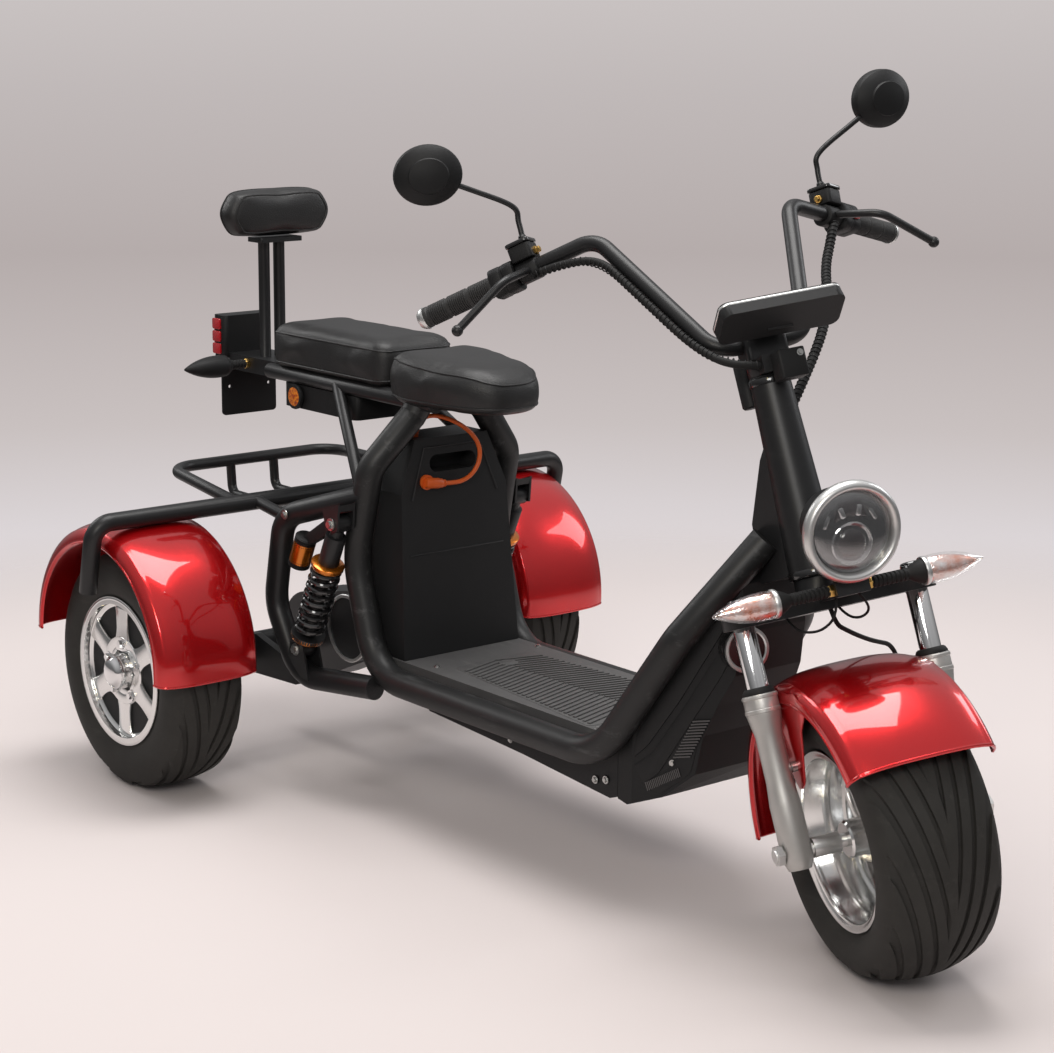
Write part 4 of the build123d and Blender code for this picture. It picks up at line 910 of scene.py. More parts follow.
class SCOOTER_OT_lamps(bpy.types.Operator):
    """Build the headlight, the signals, the tail lens and the side reflectors"""
    bl_idname = "scooter.lamps"
    bl_label = "Lamps"

    def execute(self, context):
        self.headlight()
        self.front_signals()
        self.rear_signals()
        self.tail_lens()
        self.reflectors()
        return {"FINISHED"}

    def headlight(self):
        place = placed(FORK, (136, 0, 431), (cos(RAKE), 0, -sin(RAKE)), (0, 1, 0))
        bowl = Shape()
        bowl.turn(place, ((0, -66), (38, -66), (46, -64), (51, -58), (59, -30), (65, -9), (68, -3), (69, 0),
                          (61, 0)), 72)
        bowl.block(placed(FORK, (84, 0, 365.3), (0, 0, 1), (1, 0, 0)), 30, 34, 0, 44, 5, 2)
        bowl.tint = 1
        bowl.turn(place, ((61, 0.4), (60, 3), (54, 1.5), (46, 1), (45, 2.6), (43, 2.6), (42, 0.6),
                          (0, 0.6)), 72)
        bowl.piece("headlight_bowl_turned", "steering", ["black_plastic", "black_gloss"], ["headlight_bowl"])
        turned("headlight_bezel_turned", "steering", "satin_chrome", [place],
               ((59.9, 0.5), (73, 0.5), (74.6, 2), (75, 5), (74.6, 11), (72, 16), (68, 18.2), (64.5, 17.4),
                (62, 14), (60.4, 9)), steps=96, loop=True, replaces=["headlight_bezel"], angle=50)
        ball = Shape()
        eye = place @ Matrix.Translation((0, -18, 0))
        ball.turn(eye, ((24, 1), (23.6, 4), (21, 7.4), (15, 10), (7, 11.4), (0, 11.8)), 64)
        hood = [(-19, 47), (19, 47), (27, 16), (14, 20), (0, 21.5), (-14, 20), (-27, 16)]
        ball.prism(place, hood, 0, 7.5, 3)
        ball.tint = 1
        ball.turn(eye, ((25, 1), (32, 1), (32, 5), (30, 6.4), (26, 4.5)), 64, loop=True)
        for way in WAYS:
            # Columns: place across and up, turn, then the brow's length, width, low and high face and bevel
            for x, y, turn, length, width, low, high, bevel in ((13, 30, -16, 9, 17, 6, 9, 1.4),
                                                                (36, 19, 28, 7, 20, 0.6, 5, 2)):
                spin = Matrix.Rotation(radians(turn * way), 4, "Z")
                brow = place @ Matrix.Translation((way * x, y, 0)) @ spin
                ball.block(brow, length, width, low, high, 3, bevel)
        ball.piece("headlight_projector", "steering", ["projector_glass", "chrome"], angle=40)
        outer = [(59.6, 6.5), (59.6, 8), (54, 11.2), (44, 13.8), (30, 15.8), (15, 16.8), (0, 17)]
        turned("headlight_glass", "steering", "lamp_glass", [place],
               outer + [(r * 0.985, h - 1.8) for r, h in outer[:0:-1]], steps=96,
               replaces=["headlight_lens"], angle=60)

    def front_signals(self):
        roots, feet = both(FORK, (88, 26.3, 354)), both(FORK, (88, 116.6, 354))
        stalk = [(8.4, 7)] + ribbed(9, 65, 9, 7.2) + [(9, 68), (13, 74), (17, 82), (18.4, 88), (18.4, 90)]
        turned("front_signal_stalks", "steering", "black_rubber", roots, stalk, steps=36,
               replaces=["front_signals"])
        turned("front_signal_nuts", "steering", "brass", roots, SIGNAL_NUT, steps=6, angle=20)
        turned("front_signal_rims", "steering", "satin_chrome", feet,
               ((17, -2.4), (20.6, -2), (21.4, 0), (21.4, 3.6), (20.4, 5.2), (17, 5)), angle=50)
        outer = teardrop(96, 20, 2)
        turned("front_signal_glass", "steering", "signal_glass", feet,
               [(18, 3)] + [(r, h) for r, h in outer if h > 4] + [(0, 96)],
               replaces=["front_signal_lenses"], angle=60)
        turned("front_signal_reflectors", "steering", "signal_silver", feet,
               [(15, 3.4)] + [(0.84 * r, 4 + 0.84 * h) for r, h in outer] + [(0, 87)], steps=36, angle=60)

    def rear_signals(self):
        roots, feet = (both(VEHICLE, (-196, y, 715), across=(0, 0, 1)) for y in (46.3, 96.3))
        stalk = [(8.4, 7)] + ribbed(9, 37, 9, 7.2) + [(9, 38), (13, 42), (17, 47), (18.4, 50.5)]
        turned("rear_signal_stalks", "chassis", "black_rubber", roots, stalk, steps=36,
               replaces=["rear_signals"])
        turned("rear_signal_nuts", "chassis", "brass", roots, SIGNAL_NUT, steps=6, angle=20)
        turned("rear_signal_lenses", "chassis", "black_plastic", feet,
               [(18.6, 0)] + [(r, h + 1) for r, h in teardrop(90, 20, 2)] + [(0, 91.4)], angle=60)

    def tail_lens(self):
        place = placed(VEHICLE, (-302.6, 0, 759), (-1, 0, 0), (0, 1, 0))
        lens = Shape()
        lens.block(place, 100, 68, 0, 7, 10, 2.5)
        lens.piece("tail_lens_face", "chassis", "red_lens", ["tail_lens"])
        turn = place.to_3x3()
        barred("tail_lens_ribs", "chassis", "red_lens",
               [(9, place @ Vector((-40, 0, 7.2)), turn @ Vector((10, 0, 0)), (0.0042, 0.058, 0.0036),
                 turn.normalized().to_euler(), 0.0)])
        wraps = Shape()
        for place in both(VEHICLE, (-287, 56, 759), across=(0, 0, 1)):
            for height in (-24, 0, 24):
                wraps.block(place @ Matrix.Translation((height, 0, 0)), 21, 28, -1, 3, 4, 1.2)
        wraps.piece("tail_lens_flanks", "chassis", "red_lens")

    def reflectors(self):
        low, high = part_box("side_reflectors")
        middle = VEHICLE.inverted() @ ((Vector(low) + Vector(high)) / 2)
        reach = (VEHICLE.inverted() @ Vector(high)).y
        places = both(VEHICLE, (middle.x, reach, middle.z), across=(0, 0, 1))
        turned("side_reflector_rings", "chassis", "black_plastic", places,
               ((20, -6), (23, -6), (23.4, -2), (22.4, 0.6), (20, 0.6)))
        turned("side_reflector_faces", "chassis", "amber_fan", places,
               ((20, -3), (20, 0.2), (12, 1.4), (0, 1.8)), replaces=["side_reflectors"], angle=60)


BAR_END = Vector((-361, 404, 929))
GRIP_LINE = (BAR_END - Vector((-178, 162, 970))).normalized()


def bar_places(along):
    """The frames across the bar, a distance in from its ends: +X up, +Z outward along the bar."""
    return both(FORK, BAR_END - GRIP_LINE * along, GRIP_LINE, (0, 0, 1))


class SCOOTER_OT_controls(bpy.types.Operator):
    """Build the grips, switch pods, brake reservoirs, mirrors and display on the handlebar"""
    bl_idname = "scooter.controls"
    bl_label = "Controls"

    def execute(self, context):
        self.grips()
        self.pods()
        self.mirrors()
        self.display()
        return {"FINISHED"}

    def grips(self):
        profile = [(12.7, 0), (17, 0), (17, 5), (15.6, 6)]
        for start, end in ((8, 42), (47, 81), (86, 118)):
            profile += ribbed(start, end, 17, 15.5, 3.4)
        turned("grip_sleeves", "steering", "grip_rubber", bar_places(125),
               profile + [(17, 120), (17, 125), (12.7, 125)], loop=True, replaces=["grips"])
        turned("bar_end_caps", "steering", "satin_chrome", bar_places(-0.3),
               ((18, 0), (18.2, 3), (17, 6), (15.5, 9), (13, 12.4), (9, 13.8), (0, 14)),
               replaces=["bar_ends"], angle=50)

    def pods(self):
        pods, lids, brass, buttons = (Shape() for _ in range(4))
        for place, tank in zip(bar_places(169.3), bar_places(207.6)):
            pods.prism(place, rounded(48, 46, 15, 7), 0, 20.6, 3)
            pods.prism(place, rounded(46.6, 44.6, 14, 7), 20, 23.4, 0)
            pods.prism(place, rounded(48, 46, 15, 7), 22.8, 44, 3)
            pods.prism(tank @ Matrix.Translation((-2, 0, 0)), rounded(34, 36, 15, 7), 1, 37, 2.5)
            pods.block(placed(tank, (15, 0, 19), (1, 0, 0), (0, 0, 1)), 38, 40, 0, 24.6, 6, 2)
            lids.block(placed(tank, (40.2, 0, 19), (1, 0, 0), (0, 0, 1)), 41, 43, 0, 6.6, 7, 1.8)
            brass.turn(placed(tank, (24, 0, 0.4), (0, 0, -1)), ((7, 0), (7, 4), (5, 5), (5, 9), (3.5, 10)), 6)
            buttons.block(placed(place, (0, 23, 30), (0, 1, 0), (0, 0, 1)), 14, 10, -2, 3.4, 2, 1)
        pods.piece("switch_pods", "steering", "black_plastic", ["bar_controls"])
        lids.piece("reservoir_lids", "steering", "black_gloss")
        brass.piece("banjo_bolts", "steering", "brass", angle=20)
        buttons.piece("switch_buttons", "steering", "red_lens")

    def mirrors(self):
        stems, shells, nuts = (Shape() for _ in range(3))
        foot = Vector((-248.2, 255, 984.3))
        # Columns: share of the rim's size, distance behind the rim's plane
        rings = ((0.9, 18), (0.985, 18), (1.0, 15.5), (1.0, 6), (0.97, 2), (0.82, -5), (0.6, -10),
                 (0.57, -13), (0.3, -16), (0.0, -17))
        angles = [2 * pi * step / 48 for step in range(48)]
        for side in WAYS:
            facing = Vector((-0.92, -0.2 * side, 0.33)).normalized()
            seat = Vector((-223, side * 388, 1122))
            place = placed(FORK, seat, facing, (0, 1, 0))
            path = mirrored((foot, (-247, 255.5, 1030), (-240, 262, 1056), (-232, 322, 1090)), side)
            stems.tube(FORK, smooth_path(path + [seat + facing * 2], 8), 4.4, 12)
            shells.skin([[place @ Vector((54 * share * cos(a), 47 * share * sin(a), depth)) for a in angles]
                         for share, depth in rings])
            # Columns: height above the stem's foot, profile, sides
            for lift, profile, sides in ((-2, ((8.5, 0), (8.5, 9), (6.5, 11)), 6),
                                         (9, ((6.4, 0), (6.4, 14), (5, 17)), 24)):
                nuts.turn(placed(FORK, (foot.x, side * foot.y, foot.z + lift), (0, 0, 1)), profile, sides)
        stems.piece("mirror_stems", "steering", "black_paint")
        shells.piece("mirror_shells", "steering", "black_plastic", ["mirrors"], angle=22)
        nuts.piece("mirror_nuts", "steering", "black_paint", angle=20)

    def display(self):
        place = placed(FORK, (77, 0, 754), (-0.5, 0, 0.866), (0, 1, 0))
        trim = Shape()
        trim.block(place, 193.4, 67.4, 15.5, 24.6, 15, 4)
        trim.piece("display_trim", "steering", "satin_chrome", angle=20)
        glass = Shape()
        glass.block(place, 178, 54, 20, 25.2, 10, 0.8)
        glass.piece("display_glass", "steering", "black_gloss")


def swirl(inner, outer, start, turn, wide, flare=0.5, count=13):
    """The outline of a curved spoke between two radii: one edge out, the other edge back."""
    edges = ([], [])
    for step in range(count):
        share = step / (count - 1)
        radius = inner + (outer - inner) * share
        angle = start + turn * share ** 1.3
        half = wide * (0.62 + (0.5 if share < 0.5 else flare) * (2 * share - 1) ** 2) / radius
        for edge, way in zip(edges, WAYS):
            edge.append((radius * cos(angle + way * half), radius * sin(angle + way * half)))
    return edges[0] + edges[1][::-1]


def doubled(profile):
    """A profile followed by its mirror image below zero."""
    return profile + [(r, -h) for r, h in profile[::-1]]


class SCOOTER_OT_wheels(bpy.types.Operator):
    """Build the polished rims with their spokes, windows, caps and valves"""
    bl_idname = "scooter.wheels"
    bl_label = "Wheels"

    def execute(self, context):
        self.front()
        for (_, name), place in zip(SIDES, both(VEHICLE, (0, 444, REAR_AXLE_HEIGHT))):
            self.rear(place, name)
        return {"FINISHED"}

    def front(self):
        place = placed(FORK, (0, 0, 0), (0, 1, 0), (1, 0, 0))
        half = 79
        lip = [(127.7, half - 4), (134.5, half - 4), (136, half - 3), (136, half - 1), (134.5, half),
               (131, half - 0.4), (127, half - 4), (123.5, half - 5), (122.5, half - 12), (119.5, half - 16),
               (119.5, half - 32), (118, half - 34), (118, half - 50)]
        hub = [(10.4, 62), (25, 62), (28, 59), (28, 34), (32, 18), (42, 11), (46, 8)]
        rim = Shape()
        rim.turn(place, doubled(lip), 96, loop=True)
        rim.turn(place, ((119, -11), (122, -11), (122, 11), (119, 11), (112, 8), (111, 0), (112, -8)), 96,
                 loop=True)
        rim.turn(place, doubled(hub), 64, loop=True)
        for spoke in range(8):
            rim.prism(place, swirl(40, 116, 2 * pi * spoke / 8, radians(34), 12), -8, 8, 3)
        rim.piece("front_rim_polished", "front_wheel", "polished_alloy", ["front_rim"], angle=40)
        stem = placed(place, (82, 86, -34), (-0.66, -0.69, -0.3))
        turned("front_valve", "front_wheel", "black_rubber", [stem],
               ((4.5, -6), (4.5, 4), (3.4, 6), (3.4, 18), (4.2, 19), (4.2, 28), (3, 29)), steps=20)

    def rear(self, place, name):
        body = f"rear_wheel_{name}"
        lips = Shape()
        lips.turn(place, ((122.6, 10), (126, 17), (131, 18.3), (134.4, 18.3), (136.2, 17), (136.2, 14.5),
                          (134, 13), (127, 8)), 96, loop=True)
        lips.turn(place, ((118, -1), (122.8, -1), (122.8, 6), (119.5, 3.5), (116, 1.2), (108.5, 0.8),
                          (108.5, -1)), 96, loop=True)
        lips.turn(place, ((44, -1), (63, -1), (63, 6.8), (61, 8.8), (47, 9.2), (44, 8)), 72, loop=True)
        lips.piece(f"rear_rim_{name}_lips", body, "polished_alloy", angle=40)
        turned(f"rear_rim_{name}_windows", body, "black_plastic", [place],
               ((44, 0.3), (121, 0.3), (121, 1.2), (44, 1.2)), steps=96, loop=True)
        spokes = Shape()
        for spoke in range(6):
            spokes.prism(place, swirl(46, 120.5, 2 * pi * (spoke + 0.5) / 6, 0.0, 30, 0.1), 0.6, 8, 2.6)
        spokes.piece(f"rear_rim_{name}_spokes", body, "polished_alloy", angle=40)
        turned(f"rear_cap_{name}", body, "chrome", [place],
               ((30.4, 24), (30.2, 27), (26, 29), (24, 33), (18, 36), (0, 37)), steps=56, angle=50)


class SCOOTER_OT_fork(bpy.types.Operator):
    """Build the fork's seals, cast rings and caps"""
    bl_idname = "scooter.fork"
    bl_label = "Fork"

    def execute(self, context):
        legs = both(FORK, (0, 139, 0), (0, 0, 1))
        turned("fork_seals", "steering", "black_rubber", legs,
               ((16.6, 232), (24, 232), (24.4, 236), (22, 241), (19, 243), (16.6, 243)), loop=True)
        turned("fork_collars", "steering", "cast_alloy", legs,
               ((25, 205), (26.6, 206.5), (26.6, 211), (25, 212.5)),
               ((25, 226), (26.6, 227.5), (26.6, 231), (25, 232.5)), steps=56)
        turned("stanchion_caps", "steering", "black_gloss", legs,
               ((15.5, 369), (15.5, 371), (13.6, 373), (8, 374), (0, 374)), steps=40)
        return {"FINISHED"}


def painted(group, entry, out, instances):
    """Ends a Geometry Nodes group: its instances made real and given the group's material."""
    solid = add(group, "GeometryNodeRealizeInstances", {"Geometry": instances})
    paint = add(group, "GeometryNodeSetMaterial", {"Geometry": solid, "Material": (entry, "Material")})
    fill(group, out, {"Geometry": paint})
    return group


def bars_group(name):
    """Geometry Nodes: a straight row of bars, each longer than the last by the growth."""
    group, entry, out = new_group(
        name, "GeometryNodeTree",
        (("Count", "Int"), ("Start", "Vector"), ("Step", "Vector"), ("Turn", "Rotation"), ("Size", "Vector"),
         ("Growth", "Float"), ("Material", "Material")), (("Geometry", "Geometry"),))
    line = add(group, "GeometryNodeMeshLine",
               {"Count": (entry, "Count"), "Start Location": (entry, "Start"), "Offset": (entry, "Step")})
    bar = add(group, "GeometryNodeMeshCube", {"Size": (entry, "Size")})
    index = add(group, "GeometryNodeInputIndex")
    grow = add(group, "ShaderNodeMath", {0: index, 1: (entry, "Growth"), 2: 1.0}, operation="MULTIPLY_ADD")
    size = add(group, "ShaderNodeCombineXYZ", {"X": 1.0, "Y": grow, "Z": 1.0})
    spread = add(group, "GeometryNodeInstanceOnPoints",
                 {"Points": line, "Instance": bar, "Rotation": (entry, "Turn"), "Scale": size})
    return painted(group, entry, out, spread)


HEAD_SIDES = 6


def bolts_group(name):
    """Geometry Nodes: a hexagon bolt with its washer on every point, facing out and scaled by the point."""
    group, entry, out = new_group(
        name, "GeometryNodeTree", (("Geometry", "Geometry"), ("Material", "Material")),
        (("Geometry", "Geometry"),))
    parts = add(group, "GeometryNodeJoinGeometry")
    # Columns: sides, top radius, foot radius, depth, height of the middle
    for sides, top, foot, depth, middle in ((24, 1.45, 1.5, 0.24, 0.1), (HEAD_SIDES, 0.86, 1.0, 0.8, 0.5)):
        cone = add(group, "GeometryNodeMeshCone",
                   {"Vertices": sides, "Radius Top": top, "Radius Bottom": foot, "Depth": depth})
        lift = add(group, "GeometryNodeTransform",
                   {"Geometry": cone, "Translation": (0, 0, middle - depth / 2)})
        fill(group, parts, {"Geometry": lift})
    facing = add(group, "GeometryNodeInputNamedAttribute", {"Name": "facing"}, data_type="FLOAT_VECTOR")
    width = add(group, "GeometryNodeInputNamedAttribute", {"Name": "width"})
    align = add(group, "FunctionNodeAlignRotationToVector", {"Vector": (facing, "Attribute")}, axis="Z")
    spread = add(group, "GeometryNodeInstanceOnPoints", {"Points": (entry, "Geometry"), "Instance": parts,
                                                         "Rotation": align, "Scale": (width, "Attribute")})
    return painted(group, entry, out, spread)


def grown(source, group, values):
    """The mesh that a Geometry Nodes group makes of a source mesh, with its named inputs set."""
    holder = linked(source.name, source)
    modifier = holder.modifiers.new(group.name, "NODES")
    modifier.node_group = group
    sockets = {item.name: item.identifier for item in group.interface.items_tree
               if item.item_type == "SOCKET" and item.in_out == "INPUT"}
    for label, value in values.items():
        modifier[sockets[label]] = value
    made = final_mesh(holder)
    bpy.data.objects.remove(holder)
    return made


def barred(name, body, finish, rows):
    """Rows of bars of one body and finish as one piece."""
    labels = ("Count", "Start", "Step", "Size", "Turn", "Growth")
    group = shared("row of bars", bars_group)
    build = bmesh.new()
    for row in rows:
        part = grown(bpy.data.meshes.new(name), group, dict(zip(labels, row), Material=material(finish)))
        build.from_mesh(part)
        bpy.data.meshes.remove(part)
    data = bpy.data.meshes.new(name)
    build.to_mesh(data)
    build.free()
    return dressed(data, name, body, finish)


def bolt_pair(base, spot, facing, width):
    """A bolt on the right and its mirror image on the left, given by the left one."""
    return [(base, *mirrored((spot, facing), side), width) for side in WAYS]


def lug_rows(side):
    """The five wheel nuts round a rear hub."""
    angles = [2 * pi * (nut + 0.25) / 5 for nut in range(5)]
    spots = [(50 * cos(a), side * 453, REAR_AXLE_HEIGHT + 50 * sin(a)) for a in angles]
    return [(VEHICLE, spot, (0, side, 0), 7.0) for spot in spots]


# Columns: body, finish, then rows of frame, place, facing and width
BOLTS = (
    ("chassis", "steel",
     bolt_pair(VEHICLE, (322, 217, 510), (0, 1, 0), 7.5) + bolt_pair(VEHICLE, (208, 217, 262), (0, 1, 0), 7.5)
     + bolt_pair(VEHICLE, (177, 215, 503), (0, 1, 0), 6)
     + [(VEHICLE, (926, -131, 188), (0, -1, 0), 4.5), (VEHICLE, (951, -131, 194), (0, -1, 0), 4.5),
        (VEHICLE, (712, -131, 201), (0, -1, 0), 3.5), (VEHICLE, (492, -131, 208), (0, -1, 0), 3.5),
        (VEHICLE, (478, -105, 270), (0, 0, 1), 4), (VEHICLE, (480, 121, 270), (0, 0, 1), 4),
        (VEHICLE, (924, -125, 270), (0, 0, 1), 4), (VEHICLE, (1076, -105, 248), (0.343, -0.939, 0), 4)]),
    ("steering", "steel",
     bolt_pair(FORK, (30.2, 139, 348), (1, 0, 0), 5) + bolt_pair(FORK, (-8, 22, 760.3), (0, 0, 1), 4.5)
     + bolt_pair(FORK, (-36, 22, 760.3), (0, 0, 1), 4.5)
     + [(FORK, (52, 26, 706), (1, 0, 0), 3.5), (FORK, (6, -11, 706), (0.94, -0.34, 0), 5.5),
        (FORK, (8.3, 4, 703), (1, 0.14, 0), 5)]),
    ("rear_wheel_right", "chrome", lug_rows(-1)),
    ("rear_wheel_left", "chrome", lug_rows(1)),
)


class SCOOTER_OT_bolts(bpy.types.Operator):
    """Set the bolts and screws on their seats"""
    bl_idname = "scooter.bolts"
    bl_label = "Bolts"

    def execute(self, context):
        for body, finish, rows in BOLTS:
            self.studded(f"{body}_{finish}_bolts_{HEAD_SIDES}", body, finish, rows)
        return {"FINISHED"}

    def studded(self, name, body, finish, rows):
        """Bolts of one body and finish as one piece."""
        points = bpy.data.meshes.new(name)
        points.from_pydata([base @ Vector(spot) for base, spot, facing, width in rows], [], [])
        points.attributes.new("facing", "FLOAT_VECTOR", "POINT")
        points.attributes.new("width", "FLOAT", "POINT")
        for index, (base, spot, facing, width) in enumerate(rows):
            points.attributes["facing"].data[index].vector = (base.to_3x3() @ Vector(facing)).normalized()
            points.attributes["width"].data[index].value = width * 0.001
        made = grown(points, shared("bolts on points", bolts_group), {"Material": material(finish)})
        made.materials.clear()
        dressed(made, name, body, finish)


# The fork's frame with the wheel straight ahead, in which the neck stands
REST_TURN = radians(23)
steer_foot = Vector(joints["steering"]["pos_m"])
STRAIGHT = (Matrix.Translation(steer_foot) @ Matrix.Rotation(REST_TURN, 4, steer_axis)
            @ Matrix.Translation(-steer_foot) @ FORK)

# The leg shield's side: where its frame stands and the way it runs
COWL_X, COWL_Y, COWL_COS, COWL_SIN = 1010, 129, 0.939, 0.343
# Columns: outline on the shield's side by vehicle X and height, how far it stands proud
COWL_PANELS = (
    ([(1018, 286), (1060, 362), (1126, 487), (1160, 552), (1160, 486), (1150, 467), (1085, 348), (1036, 270),
      (1014, 248)], 3),
    ([(1014, 234), (1042, 258), (1092, 340), (1157, 458), (1162, 425), (1150, 398), (1054, 228),
      (1030, 206)], 2),
    ([(1034, 200), (1060, 224), (1100, 292), (1118, 300), (1106, 238), (1060, 196)], 1.2),
)
# Columns: count, vehicle X and height of the first slat, step to the next, slat's size, its slant
COWL_SLATS = ((13, (1092, 262), (2.6, 5.2), (0.03, 0.0026, 0.0022), 12),
              (20, (1036, 204), (2.9, 1.7), (0.0022, 0.014, 0.002), 20))
HORN = (1166, -58, 446)
HORN_OUT = (0.9, -0.35, 0.1)


def on_cowl(points, side):
    """Points given by vehicle X and height, in the frame on the shield's side."""
    return flank([((x - COWL_X) / COWL_COS, z) for x, z in points], side)


class SCOOTER_OT_body(bpy.types.Operator):
    """Build the shield's panels, the floor's ribs, the battery's trims and what sits on the neck"""
    bl_idname = "scooter.body"
    bl_label = "Body"

    def execute(self, context):
        self.cowl()
        self.floor()
        self.battery()
        self.neck()
        return {"FINISHED"}

    def cowl(self):
        panels = Shape()
        slats = []
        for side in WAYS:
            place = placed(VEHICLE, (COWL_X, side * COWL_Y, 0), (COWL_SIN, side * COWL_COS, 0),
                           (COWL_COS, -side * COWL_SIN, 0))
            for outline, proud in COWL_PANELS:
                panels.prism(place, on_cowl(outline, side), -2, proud, 1.2)
            for count, first, along, size, slant in COWL_SLATS:
                turn = place.to_3x3().normalized() @ Matrix.Rotation(-side * radians(slant), 3, "Z")
                start = place @ Vector((*on_cowl([first], side)[0], 2.2))
                step = place.to_3x3() @ Vector((*flank([along], side)[0], 0))
                slats.append((count, start, step, size, turn.to_euler(), 0.0))
        panels.piece("cowl_panels", "chassis", "black_plastic")
        barred("cowl_slats", "chassis", "black_gloss", slats)

    def floor(self):
        mat = Shape()
        outline = [(508, -86), (898, -127), (906, -118), (906, 118), (898, 127), (508, 86), (500, 76),
                   (500, -76)]
        mat.prism(VEHICLE, outline, 269, 270.8, 0.6)
        mat.turn(VEHICLE @ Matrix.Translation((537, 7, 0)),
                 ((17, 270), (17, 272.6), (15, 273.4), (0, 273.6)), 40)
        mat.piece("floor_mat", "chassis", "mat_rubber")
        rows = []
        for side in WAYS:
            start = VEHICLE @ Vector((522, side * 43, 271.6))
            step = VEHICLE.to_3x3() @ Vector((13.2, side * 0.66, 0))
            rows.append((28, start, step, (0.0052, 0.088, 0.0026), (0, 0, -side * radians(16)), 0.0142))
        barred("floor_ribs", "chassis", "mat_rubber", rows)

    def battery(self):
        lines = Shape()
        outline = ((-94, 548), (-62, 636), (62, 636), (94, 548))
        lines.tube(VEHICLE, [(392.4 - (z - 560) * 10 / 92, y, z) for y, z in outline], 1.6, 8)
        lines.tube(VEHICLE, [(401, y, 452) for y in (-104, -52, 0, 52, 104)], 1.2, 8)
        lines.piece("battery_lines", "chassis", "black_paint")
        tops = Shape()
        for side in WAYS:
            tops.tube(VEHICLE, mirrored(((372, 80, 689), (379, 66, 715), (385, 53, 737)), side), 23.8, 40)
        tops.piece("rail_tops", "chassis", "floor_paint")

    def neck(self):
        lock = Shape()
        # Columns: place, length, width, height, corner, bevel
        blocks = (((34, 13, 672), 36, 44, 43, 5, 2), ((11, 4, 696), 14, 24, 14, 3, 1),
                  ((-58, -10, 696), 18, 12, 14, 3, 1))
        for spot, length, width, height, corner, bevel in blocks:
            lock.block(placed(FORK, spot, (0, 0, 1), (1, 0, 0)), length, width, 0, height, corner, bevel)
        lock.turn(placed(FORK, (-78, -16, 652), (0, 0, 1)),
                  ((0, 0), (11, 0), (14, 3), (14, 66), (12, 70), (0, 70)), 32)
        lock.piece("steering_lock", "steering", "black_plastic")
        rings = Shape()
        rings.turn(placed(VEHICLE, HORN, HORN_OUT),
                   ((29, 26), (34.4, 26), (35.4, 28), (35, 32), (31, 33), (29, 31)), 48, loop=True)
        for motor in both(VEHICLE, (231, 118, 290), across=(0, 0, 1)):
            rings.turn(motor, ((56, -1), (62, -1), (62.6, 1), (61, 3), (56, 3)), 56, loop=True)
        rings.piece("bright_rings", "chassis", "satin_chrome", angle=40)
        cups = Shape()
        # Columns: height on the steering axis, radius of the tube there
        for height, r in ((384, 40.2), (676, 30.4)):
            cups.turn(placed(STRAIGHT, (-22, 0, height), (0, 0, 1)),
                      ((r - 6, 0), (r + 1.6, 0), (r + 2, 2), (r + 2, 9), (r + 1, 11), (r - 6, 11)), 56,
                      loop=True)
        cups.piece("neck_cups", "chassis", "black_gloss")


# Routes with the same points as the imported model's tubes
LEAD = ((402, -36, 574), (405, -6, 571), (408, 22, 579), (410, 41, 602), (410, 43, 631), (406, 27, 657),
        (401, 2, 676), (392, -25, 689), (378, -46, 692), (362, -56, 680), (354, -59, 660))
# Columns: length, points of each lamp wire under the yoke
WIRES = (
    (0.123, ((70, -16, 344), (66, -20, 318), (50, -40, 302), (28, -58, 304), (10, -68, 316), (2, -72, 332))),
    (0.106, ((72, 18, 344), (68, 30, 328), (52, 36, 314), (30, 28, 308), (10, 18, 316), (2, 12, 332))),
)
# Columns: radius, points
LOOMS = (
    (7.0, ((-236, 258, 942), (-222, 236, 905), (-194, 205, 863), (-146, 176, 806),
           (-104, 138, 753), (-78, 92, 700), (-54, 36, 640))),
    (6.0, ((-236, -258, 942), (-204, -222, 945), (-159, -170, 935), (-100, -136, 848),
           (-41, -101, 760), (2, -72, 716), (8, -20, 702))),
)


def route(name, points, base):
    """A soft curve that leans on the points of a route."""
    curve = bpy.data.curves.new(name, "CURVE")
    curve.dimensions = "3D"
    curve.resolution_u = 24
    spline = curve.splines.new("NURBS")
    spline.points.add(len(points) - 1)
    for point, spot in zip(spline.points, points):
        point.co = (*(base @ Vector(spot)), 1)
    spline.order_u = 3
    spline.use_endpoint_u = True
    return curve


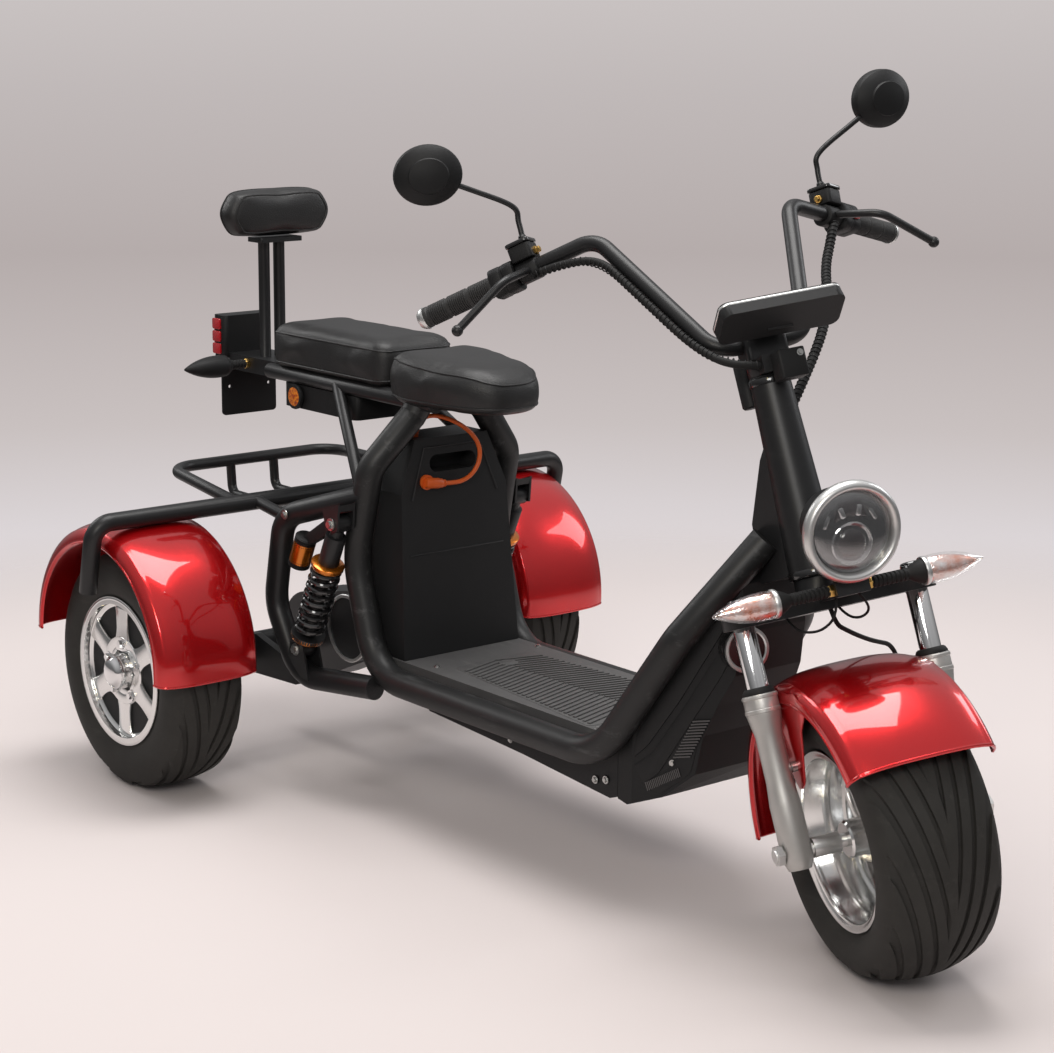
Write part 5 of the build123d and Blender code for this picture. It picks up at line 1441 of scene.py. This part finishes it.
class SCOOTER_OT_cords(bpy.types.Operator):
    """Lay the battery's charging lead and the lamp wires, and wrap the handlebar's looms"""
    bl_idname = "scooter.cords"
    bl_label = "Cords"

    def execute(self, context):
        self.lead()
        self.wires()
        self.wraps()
        return {"FINISHED"}

    def round_cord(self, name, points, base, radius, rings, finish):
        """A route as a round cord, capped at its ends."""
        curve = route(name, points, base)
        curve.bevel_depth = radius
        curve.bevel_resolution = rings
        curve.use_fill_caps = True
        curve.materials.append(material(finish))
        return linked(name, curve)

    def lead(self):
        cord = self.round_cord("battery_lead_cord", LEAD, VEHICLE, 0.004, 5, "orange_cover")
        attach(cord, "chassis")
        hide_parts("battery_lead")
        sleeves = Shape()
        # Columns: where the sleeve starts, the next point inward, its length
        for spot, inward, length in ((LEAD[0], LEAD[1], 32), (LEAD[-1], LEAD[-2], 18)):
            sleeves.turn(placed(VEHICLE, spot, Vector(spot) - Vector(inward)),
                         [(4.4, -9), (5.2, -8)] + ribbed(-7, 3, 6.6, 5.2, 3.2)
                         + [(8.6, 5), (9.2, 8), (9.2, length - 2), (8.2, length)], 32)
        sleeve = sleeves.piece("lead_sleeves", "chassis", "orange_cover")

    def wires(self):
        for number, (length, points) in enumerate(WIRES, 1):
            wire = self.round_cord(f"lamp_wire_{number}", points, FORK, 0.002, 4, "black_rubber")
            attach(wire, "steering")

    def wraps(self):
        wrap = Shape()
        for radius, points in LOOMS:
            holder = linked("loom_route", route("loom_route", points, FORK))
            line = final_mesh(holder)
            spots = [vertex.co.copy() for vertex in line.vertices]
            bpy.data.objects.remove(holder)
            bpy.data.meshes.remove(line)
            wrap.tube(Matrix.Identity(4), self.winding(spots, (radius + 0.2) * 0.001, 0.0085), 0.0012, 6)
        wrap.piece("loom_wraps", "steering", "black_plastic")

    def winding(self, spots, radius, pitch):
        """Points of a helix round a line of spots."""
        travelled = 0.0
        across = (spots[1] - spots[0]).orthogonal().normalized()
        turns = []
        for before, after in zip(spots, spots[1:]):
            run = after - before
            ahead = run.normalized()
            across = (across - ahead * across.dot(ahead)).normalized()
            other = ahead.cross(across)
            count = max(2, round(12 * run.length / pitch))
            for step in range(count):
                spot = before + run * step / count
                angle = 2 * pi * (travelled + run.length * step / count) / pitch
                turns.append(spot + (across * cos(angle) + other * sin(angle)) * radius)
            travelled += run.length
        return turns


class SCOOTER_PT_panel(bpy.types.Panel):
    """The scooter's settings and the steps that build it"""
    bl_idname = "SCOOTER_PT_panel"
    bl_label = "Scooter"
    bl_space_type = "VIEW_3D"
    bl_region_type = "UI"
    bl_category = "Scooter"

    def draw(self, context):
        for owner, kind in SETTINGS:
            box = self.layout.box()
            group = getattr(context.scene, owner)
            for field in kind.__annotations__:
                box.prop(group, field)
        for step in STEPS:
            self.layout.operator(step.bl_idname)


SETTINGS = (("scooter_stage", StageSettings), ("scooter_tyres", TyreSettings))
STEPS = (SCOOTER_OT_stage, SCOOTER_OT_finishes, SCOOTER_OT_tyres, SCOOTER_OT_fenders, SCOOTER_OT_seats,
         SCOOTER_OT_shocks, SCOOTER_OT_lamps, SCOOTER_OT_controls, SCOOTER_OT_wheels, SCOOTER_OT_fork,
         SCOOTER_OT_body, SCOOTER_OT_cords, SCOOTER_OT_bolts)


def register():
    for owner, kind in SETTINGS:
        bpy.utils.register_class(kind)
        setattr(bpy.types.Scene, owner, PointerProperty(type=kind))
    for step in STEPS:
        bpy.utils.register_class(step)
    bpy.utils.register_class(SCOOTER_PT_panel)


def unregister():
    bpy.utils.unregister_class(SCOOTER_PT_panel)
    for step in reversed(STEPS):
        bpy.utils.unregister_class(step)
    for owner, kind in reversed(SETTINGS):
        delattr(bpy.types.Scene, owner)
        bpy.utils.unregister_class(kind)


def main():
    register()
    for step in STEPS:
        group, name = step.bl_idname.split(".")
        getattr(getattr(bpy.ops, group), name)()


if __name__ == "__main__":
    main()
